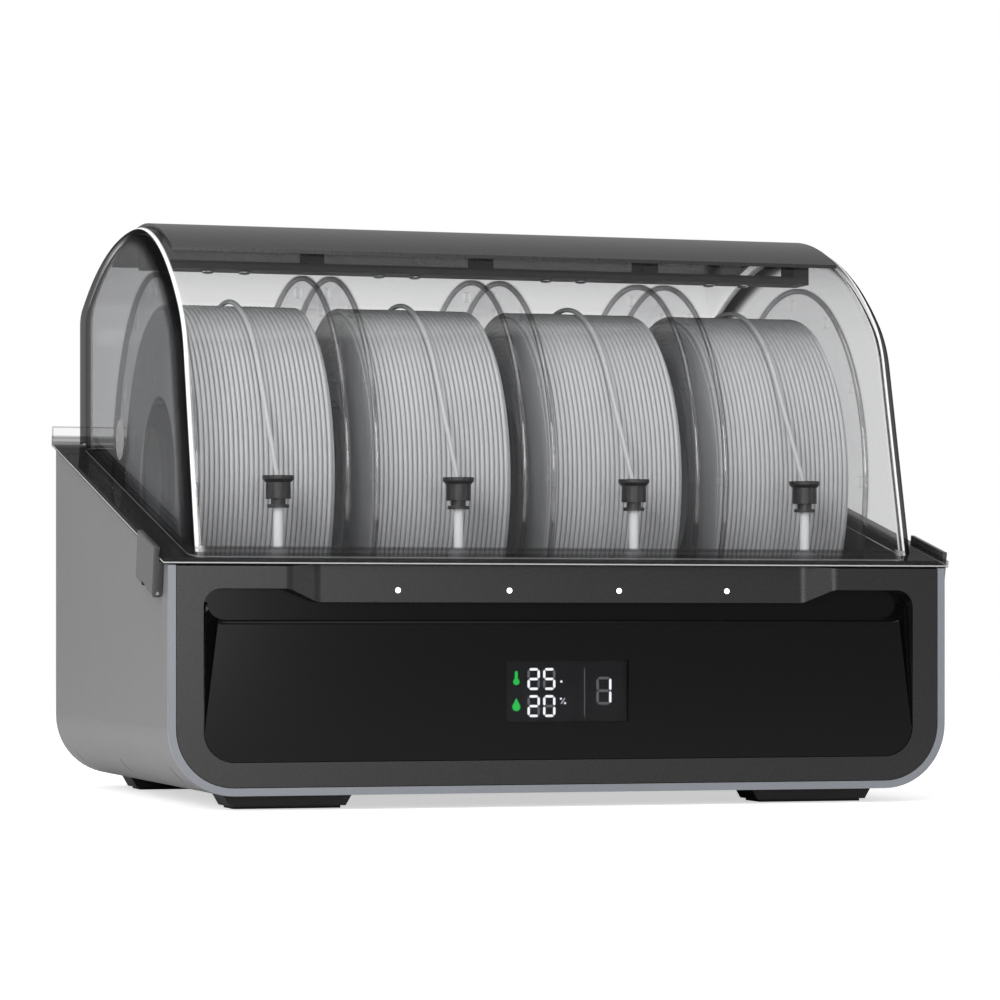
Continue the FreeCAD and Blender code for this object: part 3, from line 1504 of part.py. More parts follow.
def hinges():
    """Brackets on the rear panel with two ears each, and the pins of the lid and the latches."""
    brackets = []
    pins = []
    ear_start = S.hinge_knuckle / 2 + S.fit_gap
    plate_half = ear_start + S.hinge_ear
    plate_low = S.rear_rim_z - S.hinge_ear_radius - S.hinge_plate_height
    for side in (-1, 1):
        centre = S.hinge_offset * side
        pieces = [box(f"hinge_plate_{side + 1}", (centre - plate_half, rear_y, plate_low),
                      (plate_half * 2, S.hinge_plate, S.hinge_plate_height))]
        bores = []
        for end in (-1, 1):
            mark = f"{side + 1}_{end + 1}"
            x = centre + ear_start if end > 0 else centre - plate_half
            pieces.append(box(f"hinge_arm_{mark}", (x, rear_y, plate_low),
                              (S.hinge_ear, S.hinge_reach + S.hinge_ear_radius / 2, hinge_z - plate_low)))
            pieces.append(rod(f"hinge_ear_{mark}", (x, hinge_y, hinge_z), "x", S.hinge_ear_radius, S.hinge_ear))
            bores.append(rod(f"hinge_bore_{mark}", (x, hinge_y, hinge_z), "x",
                             S.hinge_pin_radius + S.run_gap, S.hinge_ear))
        blank = fuse(f"hinge_blank_{side + 1}", pieces)
        brackets.append(cut(f"hinge_bracket_{side + 1}", blank, bores))
        pins.append(rod(f"hinge_pin_{side + 1}", (centre - plate_half, hinge_y, hinge_z), "x",
                        S.hinge_pin_radius, plate_half * 2))
        pins.append(latch_pin(f"latch_pin_{side + 1}", side, S.latch_pin_radius,
                              S.latch_start + S.fit_gap, S.latch_length - S.fit_gap * 2))
    subpart("hinge_brackets", group("hinge_bracket_group", brackets))
    subpart("hinge_pins", group("hinge_pin_group", pins))


def latch(label, side):
    """Side latch: a plate that swings out on its pin, thin where it passes the lid's rim."""
    body = new_body(f"{label}_body")
    heel = -(S.latch_pin_drop + S.latch_heel)
    near_x = half_width + S.latch_stand
    far_x = half_width + S.latch_proud
    step_x = half_width + S.rim_overhang + S.fit_gap
    sketch = front_sketch(body, f"{label}_outline", 0)
    polygon(sketch, [
        (near_x * side, heel), (far_x * side, heel), (far_x * side, S.latch_top), (step_x * side, S.latch_top),
        (step_x * side, -S.rim_gap), (near_x * side, -S.rim_gap),
    ])
    raised = pad(body, sketch, f"{label}_plate", S.latch_length, backward=True)
    heeled = round_edges(
        body, raised, f"{label}_heel", S.latch_heel_round,
        lambda middle, edge: straight_along(edge, ALONG_Y) and near(middle.z, heel)
        and near(abs(middle.x), near_x))
    round_edges(
        body, heeled, f"{label}_outer_rounds", S.latch_round,
        lambda middle, edge: near(abs(middle.x), far_x))
    relief = front_sketch(body, f"{label}_relief_outline", (S.latch_length - S.latch_lug) / 2 - S.fit_gap)
    rectangle(relief, near_x * side, heel, (far_x - S.latch_skin) * side, S.latch_lug_height - S.latch_pin_drop)
    pocket(body, relief, f"{label}_relief", S.latch_lug + S.fit_gap * 2)
    window = front_sketch(body, f"{label}_window_outline", (S.latch_length - S.latch_lug) / 2 - S.fit_gap)
    rectangle(window, near_x * side, heel, far_x * side, S.latch_window - S.latch_pin_drop)
    pocket(body, window, f"{label}_window", S.latch_lug + S.fit_gap * 2)
    bore = front_sketch(body, f"{label}_bore_outline", 0)
    circle(bore, (half_width + S.latch_pin_out) * side, -S.latch_pin_drop, S.latch_pin_radius + S.run_gap)
    pocket(body, bore, f"{label}_bore", symmetric=True)
    body.Placement = Placement(Vector(), Rotation(Vector(1, 0, 0), 1))
    body.setExpression("Placement.Rotation.Angle", f"atan({rim_slope.text})")
    y, z = on_rim(S.latch_start, 0)
    place(body, 0, y, z)
    return subpart(label, body)


def build():
    """Make every sub-part."""
    groove = seal_ring("seal_groove", S.run_gap)
    outer_shell()
    front_trim()
    rear_panel()
    front_bezel(groove)
    front_panel()
    display_window()
    display_board()
    light_pipes()
    feet()
    spool_tray(groove)
    subpart("lid_seal", seal_ring("seal_ring", Size("0")))
    roller_brackets()
    for lane in range(LANES):
        for row, end in ((-1, "front"), (1, "rear")):
            roller(lane, row, f"roller_{lane + 1}_{end}")
    for lane in range(LANES):
        spool(lane)
        winding(lane)
    filament_leads()
    inlets()
    feeders()
    hub_tubes()
    merge_hub()
    outlet_coupling()
    data_sockets()
    main_board()
    desiccant()
    lid()
    hinges()
    latch("latch_left", -1)
    latch("latch_right", 1)
    doc.recompute()


def check():
    """Stop before anything is written if a feature failed or a shape is not sound."""
    for item in doc.Objects:
        if "Invalid" in item.State or "Error" in item.State:
            raise RuntimeError(f"{item.Label} failed: {item.State}")
    for item in SUBPARTS:
        if item.Shape.isNull() or not item.Shape.isValid():
            raise RuntimeError(f"{item.Label} has no sound shape")


build()
check()
os.makedirs("parts", exist_ok=True)
for item in SUBPARTS:
    item.Shape.exportStep(f"parts/{item.Label}.step")
print(len(SUBPARTS), "sub-parts written")
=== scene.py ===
import logging
import math
from dataclasses import dataclass
from enum import Enum
from typing import ClassVar, Sequence

import bmesh
import bpy
from mathutils import Matrix, Vector


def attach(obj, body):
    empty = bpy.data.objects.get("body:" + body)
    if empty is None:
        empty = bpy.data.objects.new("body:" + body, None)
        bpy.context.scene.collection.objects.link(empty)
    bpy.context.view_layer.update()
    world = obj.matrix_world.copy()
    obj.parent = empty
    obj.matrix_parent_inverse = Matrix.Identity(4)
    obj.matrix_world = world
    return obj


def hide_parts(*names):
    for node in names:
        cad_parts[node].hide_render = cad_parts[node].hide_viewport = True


LOG = logging.getLogger("filament_dry_box")
MM = 0.001
LANES = 4
LANE_PITCH = 85.0
FULL_TURN = 2 * math.pi
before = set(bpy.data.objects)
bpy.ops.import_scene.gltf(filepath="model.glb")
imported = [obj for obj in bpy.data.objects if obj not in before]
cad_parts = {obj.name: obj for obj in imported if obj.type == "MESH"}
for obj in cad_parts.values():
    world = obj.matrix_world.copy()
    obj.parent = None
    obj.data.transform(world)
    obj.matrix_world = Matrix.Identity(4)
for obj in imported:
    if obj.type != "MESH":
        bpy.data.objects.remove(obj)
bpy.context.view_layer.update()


def linear(code: str) -> tuple[float, float, float, float]:
    """Turn an sRGB hex code into linear colour.

    Args:
        code: Six hex digits after a hash sign.

    Returns:
        Linear red, green and blue, with alpha 1.
    """
    channels = [int(code[place:place + 2], 16) / 255 for place in (1, 3, 5)]
    flat = [c / 12.92 if c <= 0.04045 else ((c + 0.055) / 1.055) ** 2.4 for c in channels]
    return flat[0], flat[1], flat[2], 1.0


def add_node(tree: bpy.types.NodeTree, kind: str, values: dict | None = None, links: dict | None = None,
             **settings: object) -> bpy.types.Node:
    """Add one node with its settings, constants and links.

    Args:
        tree: The tree that takes the node.
        kind: The node's type name.
        values: Constants by input name or number.
        links: Output sockets of other nodes by input name or number.
        settings: Properties of the node itself.

    Returns:
        The new node.
    """
    node = tree.nodes.new(kind)
    for name, value in settings.items():
        setattr(node, name, value)
    for key, value in (values or {}).items():
        node.inputs[key].default_value = value
    for key, socket in (links or {}).items():
        tree.links.new(socket, node.inputs[key])
    return node


def blank_material(name: str) -> tuple[bpy.types.Material, bpy.types.NodeTree]:
    """Start a material with an empty node tree.

    Args:
        name: The material's name.

    Returns:
        The material and its tree.
    """
    material = bpy.data.materials.new(name)
    material.use_nodes = True
    material.node_tree.nodes.clear()
    return material, material.node_tree


Lines = tuple[bpy.types.NodeSocket, bpy.types.NodeSocket]
Stop = tuple[float, str, float]
Outline = list[tuple[float, float]]
Place = tuple[float, float, float]


def lane_x(lane: int) -> float:
    """Middle of a spool's lane.

    Args:
        lane: The lane's number from the left, from 0.

    Returns:
        Its place across the box, in millimetres.
    """
    return (lane - (LANES - 1) / 2) * LANE_PITCH


def across(centre: Vector) -> Matrix:
    """Lay a turning axis along the box's width.

    Args:
        centre: Where the axis starts, in millimetres.

    Returns:
        The frame whose Z runs along X.
    """
    return Matrix.Translation(centre * MM) @ Matrix.Rotation(math.pi / 2, 4, "Y")


def arc(centre: tuple[float, float], radius: float, steps: range, step: float) -> Outline:
    """Points on a circle.

    Args:
        centre: Middle in millimetres, in the outline's two directions.
        radius: Radius in millimetres.
        steps: Which points of the circle are wanted.
        step: Angle between points.

    Returns:
        The points in order.
    """
    return [(centre[0] + radius * math.cos(t * step), centre[1] + radius * math.sin(t * step)) for t in steps]


@dataclass(frozen=True)
class Moulded:
    """Opaque moulded plastic or rubber: even colour, slight mottle, and the fine grain of its mould."""

    name: str
    colour: str
    roughness: float
    grain_mm: float = 0.8
    grain_depth_mm: float = 0.01
    mottle: float = 0.06
    ior: float = 1.5
    metallic: float = 0.0
    cloud_mm: float = 25.0
    gloss_spread: float = 0.1
    grain_strength: float = 0.35

    def material(self) -> bpy.types.Material:
        """Build the material.

        Returns:
            A material with mottled colour, uneven gloss and a grained surface.
        """
        material, tree = blank_material(self.name)
        place = add_node(tree, "ShaderNodeTexCoord")
        cloud = add_node(tree, "ShaderNodeTexNoise", {"Scale": 1 / (self.cloud_mm * MM), "Detail": 4.0},
                         {"Vector": place.outputs["Object"]})
        grain = add_node(tree, "ShaderNodeTexNoise", {"Scale": 1 / (self.grain_mm * MM), "Detail": 2.0},
                         {"Vector": place.outputs["Object"]})
        red, green, blue, _ = linear(self.colour)
        low, high = 1 - self.mottle, 1 + self.mottle
        tint = add_node(tree, "ShaderNodeMix", {6: (red * low, green * low, blue * low, 1),
                                               7: (red * high, green * high, blue * high, 1)},
                        {0: cloud.outputs["Fac"]}, data_type="RGBA")
        gloss = add_node(tree, "ShaderNodeMapRange", {"To Min": self.roughness * (1 - self.gloss_spread),
                                                      "To Max": self.roughness * (1 + self.gloss_spread)},
                         {"Value": grain.outputs["Fac"]})
        bump = add_node(tree, "ShaderNodeBump",
                        {"Strength": self.grain_strength, "Distance": self.grain_depth_mm * MM},
                        {"Height": grain.outputs["Fac"]})
        body = add_node(tree, "ShaderNodeBsdfPrincipled", {"IOR": self.ior, "Metallic": self.metallic},
                        {"Base Color": tint.outputs[2], "Roughness": gloss.outputs["Result"],
                         "Normal": bump.outputs["Normal"]})
        add_node(tree, "ShaderNodeOutputMaterial", links={"Surface": body.outputs["BSDF"]})
        return material


@dataclass(frozen=True)
class Clear:
    """Clear moulded plastic: nearly open face on, darker and shinier towards its edges."""

    name: str
    face_tint: str
    edge_tint: str
    roughness: float
    least_shine: float = 0.04
    most_shine: float = 0.75
    outline_tint: str = "#4a4a4c"
    tint_power: float = 3.0
    shine_power: float = 5.0
    outline_power: float = 14.0
    flow_mm: float = 60.0
    wave_mm: float = 0.4
    wave_strength: float = 0.04
    painted_line_roughness: float = 0.25

    @staticmethod
    def power(tree: bpy.types.NodeTree, value: bpy.types.NodeSocket, exponent: float) -> bpy.types.NodeSocket:
        """Raise a value to a power.

        Args:
            tree: The tree that takes the node.
            value: What is raised.
            exponent: The power.

        Returns:
            The result's socket.
        """
        return add_node(tree, "ShaderNodeMath", {1: exponent}, {0: value}, operation="POWER").outputs[0]

    def painted_light_lines(self, tree: bpy.types.NodeTree, place: bpy.types.Node) -> Lines | None:
        """Painted highlight and shade lines standing in for the light in a moulding with thick corners; a plain one
        has none.

        Args:
            tree: The material's tree.
            place: Its texture coordinates.

        Returns:
            Colour and strength of the painted lines, or None.
        """
        return None

    def material(self) -> bpy.types.Material:
        """Build the material.

        Returns:
            A see-through material whose tint and reflection grow as the surface turns away.
        """
        material, tree = blank_material(self.name)
        turn = add_node(tree, "ShaderNodeLayerWeight", {"Blend": 0.5})
        place = add_node(tree, "ShaderNodeTexCoord")
        flow = add_node(tree, "ShaderNodeTexNoise", {"Scale": 1 / (self.flow_mm * MM), "Detail": 1.0},
                        {"Vector": place.outputs["Object"]})
        wave = add_node(tree, "ShaderNodeBump", {"Strength": self.wave_strength, "Distance": self.wave_mm * MM},
                        {"Height": flow.outputs["Fac"]})
        away = turn.outputs["Facing"]
        tint = add_node(tree, "ShaderNodeMix", {6: linear(self.face_tint), 7: linear(self.edge_tint)},
                        {0: self.power(tree, away, self.tint_power)}, data_type="RGBA")
        shine = add_node(tree, "ShaderNodeMapRange", {"To Min": self.least_shine, "To Max": self.most_shine},
                         {"Value": self.power(tree, away, self.shine_power)})
        lined = add_node(tree, "ShaderNodeMix", {7: linear(self.outline_tint)},
                         {0: self.power(tree, away, self.outline_power), 6: tint.outputs[2]}, data_type="RGBA")
        through = add_node(tree, "ShaderNodeBsdfTransparent", links={"Color": lined.outputs[2]})
        gloss = add_node(tree, "ShaderNodeBsdfGlossy", {"Roughness": self.roughness},
                         {"Normal": wave.outputs["Normal"]})
        mixed = add_node(tree, "ShaderNodeMixShader", links={0: shine.outputs["Result"],
                                                            1: through.outputs["BSDF"], 2: gloss.outputs["BSDF"]})
        # Painted highlight and shade lines, where the moulding has them, laid over the clear surface as a flat
        # diffuse shader
        lines = self.painted_light_lines(tree, place)
        if lines is not None:
            colour, strength = lines
            painted_line_shader = add_node(tree, "ShaderNodeBsdfPrincipled",
                            {"Roughness": self.painted_line_roughness, "Specular IOR Level": 0.0}, {"Base Color": colour})
            mixed = add_node(tree, "ShaderNodeMixShader", links={0: strength, 1: mixed.outputs["Shader"],
                                                                2: painted_line_shader.outputs["BSDF"]})
        add_node(tree, "ShaderNodeOutputMaterial", links={"Surface": mixed.outputs["Shader"]})
        return material


@dataclass(frozen=True)
class ClearLid(Clear):
    """Clear lid with painted highlight lines and painted shade lines on its rounded end corners and rim, in place
    of the light that thick clear plastic bends.
    """

    rim_front_mm: float = 109.2
    rim_slope: float = 65.0 / 287.0
    front_mm: float = -157.0
    painted_rim_band_mm: float = 10.0

    # Painted highlight as a bright inner line, then painted shade over the turn of the corner, fading on the flat
    # end
    END_PAINTED_LIGHT_LINES: ClassVar[tuple[Stop, ...]] = (
        (0.0, "#2c2c2d", 0.0), (0.30, "#ffffff", 0.0), (0.38, "#ffffff", 0.8), (0.46, "#ffffff", 0.8),
        (0.50, "#0c0c0d", 0.9), (0.80, "#0c0c0d", 0.9), (0.93, "#1c1c1d", 0.7), (0.985, "#2a2a2b", 0.25),
        (0.998, "#2a2a2b", 0.0))
    # Painted shadow at the foot, a painted highlight along the flange's edge, a grey band above it, and a painted
    # dark line where the wall begins
    RIM_PAINTED_LIGHT_LINES: ClassVar[tuple[Stop, ...]] = (
        (0.0, "#0c0c0d", 0.85), (0.07, "#0c0c0d", 0.85), (0.09, "#f0f0f0", 0.7), (0.13, "#f0f0f0", 0.7),
        (0.15, "#2c2c2d", 0.4), (0.30, "#2c2c2d", 0.35), (0.46, "#2c2c2d", 0.3), (0.48, "#1c1c1d", 0.5),
        (0.53, "#1c1c1d", 0.5), (0.60, "#3a3a3b", 0.0))

    def painted_light_lines(self, tree: bpy.types.NodeTree, place: bpy.types.Node) -> Lines | None:
        """Painted highlight and shade lines along the end corners, by the way the surface faces, and along the rim,
        by height above it.

        Args:
            tree: The material's tree.
            place: Its texture coordinates.

        Returns:
            Colour and strength of the painted lines.
        """
        # End-corner lines of painted highlight and painted shade, by how far the surface faces sideways
        facing = add_node(tree, "ShaderNodeSeparateXYZ", links={0: place.outputs["Normal"]})
        sideways = add_node(tree, "ShaderNodeMath", links={0: facing.outputs["X"]}, operation="ABSOLUTE")
        end_corner_paint = self.ramp(tree, sideways.outputs[0], self.END_PAINTED_LIGHT_LINES)
        # Rim lines of painted shadow and painted highlight, by height above the rim's plane
        spot = add_node(tree, "ShaderNodeSeparateXYZ", links={0: place.outputs["Object"]})
        level = add_node(tree, "ShaderNodeMath", {1: -self.rim_slope}, {0: spot.outputs["Y"], 2: spot.outputs["Z"]},
                         operation="MULTIPLY_ADD")
        start = (self.rim_front_mm - self.front_mm * self.rim_slope) * MM
        above = add_node(tree, "ShaderNodeMapRange", {"From Min": start, "From Max": start + self.painted_rim_band_mm * MM},
                         {"Value": level.outputs[0]})
        rim = self.ramp(tree, above.outputs["Result"], self.RIM_PAINTED_LIGHT_LINES)
        colour = add_node(tree, "ShaderNodeMix", links={0: rim.outputs["Alpha"], 6: end_corner_paint.outputs["Color"],
                                                       7: rim.outputs["Color"]}, data_type="RGBA")
        strength = add_node(tree, "ShaderNodeMath", links={0: end_corner_paint.outputs["Alpha"], 1: rim.outputs["Alpha"]},
                            operation="MAXIMUM")
        return colour.outputs[2], strength.outputs[0]

    @staticmethod
    def ramp(tree: bpy.types.NodeTree, value: bpy.types.NodeSocket,
             stops: Sequence[Stop]) -> bpy.types.Node:
        """Add a colour ramp.

        Args:
            tree: The tree that takes it.
            value: What drives it.
            stops: Place, colour and strength of each stop.

        Returns:
            The ramp node.
        """
        node = add_node(tree, "ShaderNodeValToRGB", links={"Fac": value})
        elements = node.color_ramp.elements
        while len(elements) < len(stops):
            elements.new(1.0)
        for element, (at, code, strength) in zip(elements, stops):
            element.position = at
            element.color = linear(code)[:3] + (strength,)
        return node


@dataclass(frozen=True)
class Lit:
    """A small lit surface, such as a display segment or an indicator lens; unlit segments take it too, as a painted
    glow.
    """

    name: str
    colour: str
    strength: float
    roughness: float = 0.4
    cloud_mm: float = 2.0
    dimmest: float = 0.9

    def material(self) -> bpy.types.Material:
        """Build the material.

        Returns:
            A material that gives off its own colour, a little uneven like a real light guide.
        """
        material, tree = blank_material(self.name)
        place = add_node(tree, "ShaderNodeTexCoord")
        cloud = add_node(tree, "ShaderNodeTexNoise", {"Scale": 1 / (self.cloud_mm * MM), "Detail": 1.0},
                         {"Vector": place.outputs["Object"]})
        red, green, blue, _ = linear(self.colour)
        low = self.dimmest
        tint = add_node(tree, "ShaderNodeMix", {6: (red * low, green * low, blue * low, 1),
                                               7: (red, green, blue, 1)},
                        {0: cloud.outputs["Fac"]}, data_type="RGBA")
        body = add_node(tree, "ShaderNodeBsdfPrincipled",
                        {"Roughness": self.roughness, "Emission Strength": self.strength},
                        {"Base Color": tint.outputs[2], "Emission Color": tint.outputs[2]})
        add_node(tree, "ShaderNodeOutputMaterial", links={"Surface": body.outputs["BSDF"]})
        return material


class Finishes(Enum):
    """Every finish of the box, named for the real material."""

    # Satin ABS out of an etched mould: soft mid-grey sheen, no sharp reflection
    SHELL = Moulded("abs_satin_grey", "#6d6d6e", 0.42, 0.9, 0.012)
    # Painted ABS strip: pale and cool, a little glossier than the shell
    TRIM = Moulded("abs_pale_painted", "#777a80", 0.30, 0.7, 0.004)
    # Satin ABS, dark, takes a soft gradient from the light above
    BEZEL = Moulded("abs_satin_dark", "#121213", 0.28, 0.9, 0.010)
    # Polished dark ABS: near black with clean bright highlights
    LATCH = Moulded("abs_gloss_dark", "#3a3a3b", 0.14, 1.2, 0.001)
    # Polished black acrylic: deep black with clean soft reflections
    PANEL = Moulded("acrylic_gloss_black", "#0a0a0b", 0.14, 1.2, 0.001, 0.03, 1.25)
    # Smoked acrylic lens over the display
    LENS = Clear("acrylic_smoked_lens", "#dcdcde", "#9a9a9c", 0.03, 0.008, 0.5)
    # Fibreglass board with green mask: flat green, fine weave
    BOARD = Moulded("fibreglass_board_green", "#12503a", 0.45, 0.5, 0.02, 0.15)
    # Milky polycarbonate light guides, lit
    LAMP = Lit("polycarbonate_lamp_white", "#ffffff", 2.2)
    # Matt ABS inside the box, dark enough to stay behind the filament
    TRAY = Moulded("abs_matt_charcoal", "#3b3b3d", 0.55, 1.0, 0.02)
    # Moulded black polypropylene feet
    FOOT = Moulded("polypropylene_black", "#0a0a0a", 0.5, 0.9, 0.02)
    # Soft rubber: dull and dark
    RUBBER = Moulded("rubber_black", "#1e1e1e", 0.8, 0.6, 0.03)
    # Ground steel pins: bright, cool, tight reflection
    STEEL = Moulded("steel_ground", "#b4b6ba", 0.25, 0.4, 0.004, 0.04, 1.5, 1.0)
    # Smoky clear polycarbonate: open face on, grey when seen along the wall, with painted highlight and shade lines
    # on its end corners and rim
    LID = ClearLid("polycarbonate_smoky_clear", "#fdfdfd", "#b4b5b7", 0.02, 0.02, 0.4)
    # Satin ABS top cover: dark grey with a soft highlight along the crown
    COVER = Moulded("abs_satin_slate", "#242425", 0.28, 0.9, 0.008)
    # Clear polystyrene flanges: brittle-clear with bright edges
    SPOOL = Clear("polystyrene_clear", "#fdfdfd", "#f2f2f3", 0.02, 0.03, 0.3)
    # Rim of the flange, thicker, so darker along its turn
    RIM = Clear("polystyrene_clear_rim", "#e0e0e1", "#4c4d4f", 0.03, 0.12, 0.5)
    # Silk PLA strand: silver-grey with a soft metallic sheen along each turn
    FILAMENT = Moulded("silk_pla_silver", "#b6b7b9", 0.45, 1.0, 0.004, 0.05, 1.46, 0.1)
    # Acetal rollers, satin
    ROLLER = Moulded("acetal_grey", "#565658", 0.4, 0.8, 0.006)
    # Nylon, black, faint sheen
    NYLON = Moulded("nylon_black", "#131313", 0.38, 0.8, 0.008)
    # PTFE tube: milky white and waxy
    TUBE = Moulded("ptfe_milky", "#d6d8da", 0.35, 1.0, 0.003, 0.04, 1.35)
    # Silicone grommets, soft grey
    GROMMET = Moulded("silicone_grey", "#8a8a8c", 0.5, 0.8, 0.01)
    # Drawn steel motor cans
    CAN = Moulded("steel_drawn", "#8f9195", 0.35, 0.6, 0.006, 0.05, 1.5, 1.0)
    # Cut brass gears: warm yellow metal
    BRASS = Moulded("brass_cut", "#b9924a", 0.3, 0.5, 0.006, 0.05, 1.5, 1.0)
    # White polypropylene boxes for the drying beads
    DRYBOX = Moulded("polypropylene_white", "#cfcfcd", 0.45, 0.9, 0.01)
    # Silica gel beads: glassy pale orange
    BEADS = Moulded("silica_gel_beads", "#d9a35a", 0.2, 0.6, 0.005, 0.2)
    # Coated paper sticker, blank
    STICKER = Moulded("coated_paper_white", "#ececea", 0.5, 0.7, 0.003, 0.02)
    # Lit display segments, unlit segments that show a faint grey painted glow though they are off, and the green
    # icons
    SEGMENT = Lit("display_segment_white", "#f4f6f8", 1.6)
    UNLIT_PAINTED_GLOW = Lit("display_segment_unlit_painted_glow", "#6a6a6c", 1.0)
    ICON = Lit("display_icon_green", "#22c04a", 1.4)


_MADE: dict[str, bpy.types.Material] = {}


def made(finish: Finishes) -> bpy.types.Material:
    """Give a finish's material, built on first use.

    Args:
        finish: One of the box's finishes.

    Returns:
        Its material.
    """
    if finish.name not in _MADE:
        _MADE[finish.name] = finish.value.material()
    return _MADE[finish.name]


def dress(node: str, finish: Finishes) -> None:
    """Put a finish on a CAD node.

    Args:
        node: The node's name.
        finish: The finish it takes.
    """
    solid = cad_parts[node]
    solid.data.materials.clear()
    solid.data.materials.append(made(finish))
    LOG.info("dressed %s in %s", node, made(finish).name)


def settle(piece: bpy.types.Object, body: str, finish: Finishes,
           smooth: bool = True) -> bpy.types.Object:
    """Finish a new piece: material, shading, body and slot.

    Args:
        piece: The mesh object, in place.
        body: The CAD body it rides on.
        finish: Its finish.
        smooth: True for smooth shading.

    Returns:
        The piece.
    """
    piece.data.materials.clear()
    piece.data.materials.append(made(finish))
    piece.data.polygons.foreach_set("material_index", [0] * len(piece.data.polygons))
    piece.data.polygons.foreach_set("use_smooth", [smooth] * len(piece.data.polygons))
    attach(piece, body)
    LOG.info("made %s on %s", piece.name, body)
    return piece


def mesh_object(name: str, shape: bmesh.types.BMesh) -> bpy.types.Object:
    """Turn a bmesh into a linked object at the origin.

    Args:
        name: The object's name.
        shape: The mesh, in metres, which is freed.

    Returns:
        The object.
    """
    bmesh.ops.recalc_face_normals(shape, faces=shape.faces)
    data = bpy.data.meshes.new(name)
    shape.to_mesh(data)
    shape.free()
    piece = bpy.data.objects.new(name, data)
    bpy.context.scene.collection.objects.link(piece)
    return piece


def lathe(shape: bmesh.types.BMesh, outline: Sequence[tuple[float, float]], frame_of: Matrix, sides: int) -> None:
    """Turn a closed outline of radius and height round an axis.

    Args:
        shape: The mesh that takes the result.
        outline: Radius and height of each corner in millimetres; the last joins the first.
        frame_of: Where the axis stands; it turns about the frame's Z.
        sides: How many facets go round.
    """
    rings = []
    for side in range(sides):
        turn = FULL_TURN * side / sides
        rings.append([
            shape.verts.new(frame_of @ Vector((r * MM * math.cos(turn), r * MM * math.sin(turn), h * MM)))
            for r, h in outline
        ])
    count = len(outline)
    for side in range(sides):
        here, there = rings[side], rings[(side + 1) % sides]
        for corner in range(count):
            after = (corner + 1) % count
            shape.faces.new((here[corner], there[corner], there[after], here[after]))


def bar(shape: bmesh.types.BMesh, corners: Sequence[tuple[float, float]], low_y: float, high_y: float) -> None:
    """Raise a flat outline in X and Z between two depths.

    Args:
        shape: The mesh that takes the result.
        corners: The outline in millimetres.
        low_y: Nearer depth in millimetres.
        high_y: Further depth in millimetres.
    """
    near = [shape.verts.new((x * MM, low_y * MM, z * MM)) for x, z in corners]
    far = [shape.verts.new((x * MM, high_y * MM, z * MM)) for x, z in corners]
    shape.faces.new(near)
    shape.faces.new(list(reversed(far)))
    for index in range(len(corners)):
        after = (index + 1) % len(corners)
        shape.faces.new((near[index], far[index], far[after], near[after]))


class Grower:
    """Builds a Geometry Nodes tree, runs it once and keeps the result as a plain mesh."""

    def __init__(self, name: str) -> None:
        """Start an empty tree with its geometry sockets.

        Args:
            name: The tree's name.
        """
        self.tree = bpy.data.node_groups.new(name, "GeometryNodeTree")
        self.tree.interface.new_socket("Geometry", in_out="INPUT", socket_type="NodeSocketGeometry")
        self.tree.interface.new_socket("Geometry", in_out="OUTPUT", socket_type="NodeSocketGeometry")
        self.entry = add_node(self.tree, "NodeGroupInput")
        self.values: dict[str, object] = {}

    def size(self, name: str, kind: str, value: object) -> bpy.types.NodeSocket:
        """Add a named input with its value.

        Args:
            name: The input's name.
            kind: The socket's type name.
            value: What the modifier sets.

        Returns:
            The input's socket inside the tree.
        """
        item = self.tree.interface.new_socket(name, in_out="INPUT", socket_type=kind)
        self.values[item.identifier] = value
        return self.entry.outputs[name]

    def close(self, geometry: bpy.types.NodeSocket, finish: Finishes) -> None:
        """End the tree: real geometry with one material.

        Args:
            geometry: The socket with the result.
            finish: The finish it takes.
        """
        real = add_node(self.tree, "GeometryNodeRealizeInstances", links={0: geometry})
        coat = add_node(self.tree, "GeometryNodeSetMaterial", {"Material": made(finish)}, {0: real.outputs[0]})
        add_node(self.tree, "NodeGroupOutput", links={0: coat.outputs[0]})

    def run(self, name: str, points: Sequence[Vector] = ()) -> bpy.types.Object:
        """Run the tree on a few points.

        Args:
            name: The new object's name.
            points: Points that the tree starts from.

        Returns:
            A plain mesh object.
        """
        data = bpy.data.meshes.new(name)
        data.from_pydata([tuple(point) for point in points], [], [])
        piece = bpy.data.objects.new(name, data)
        bpy.context.scene.collection.objects.link(piece)
        modifier = piece.modifiers.new("grown", "NODES")
        modifier.node_group = self.tree
        for identifier, value in self.values.items():
            modifier[identifier] = value
        graph = bpy.context.evaluated_depsgraph_get()
        grown = bpy.data.meshes.new_from_object(piece.evaluated_get(graph))
        piece.modifiers.clear()
        piece.data = grown
        return piece


def screws(name: str, places: Sequence[Place], facing: Place, radius: float) -> bpy.types.Object:
    """Set socket-head screws on a surface, each sunk a little so that no gap shows.

    Args:
        name: The new object's name.
        places: Where each head sits, in millimetres.
        facing: The way the heads face.
        radius: Head radius in millimetres.

    Returns:
        One mesh with every head.
    """
    shape = bmesh.new()
    turn = Vector((0, 0, 1)).rotation_difference(Vector(facing)).to_matrix().to_4x4()
    pole, sunk, socket_floor = 0.05, -0.6, radius * 0.12
    head = [(pole, sunk), (radius, sunk), (radius, radius * 0.25), (radius * 0.85, radius * 0.42),
            (radius * 0.5, radius * 0.5), (radius * 0.45, socket_floor), (pole, socket_floor)]
    for place in places:
        lathe(shape, head, Matrix.Translation(Vector(place) * MM) @ turn, 20)
    return mesh_object(name, shape)


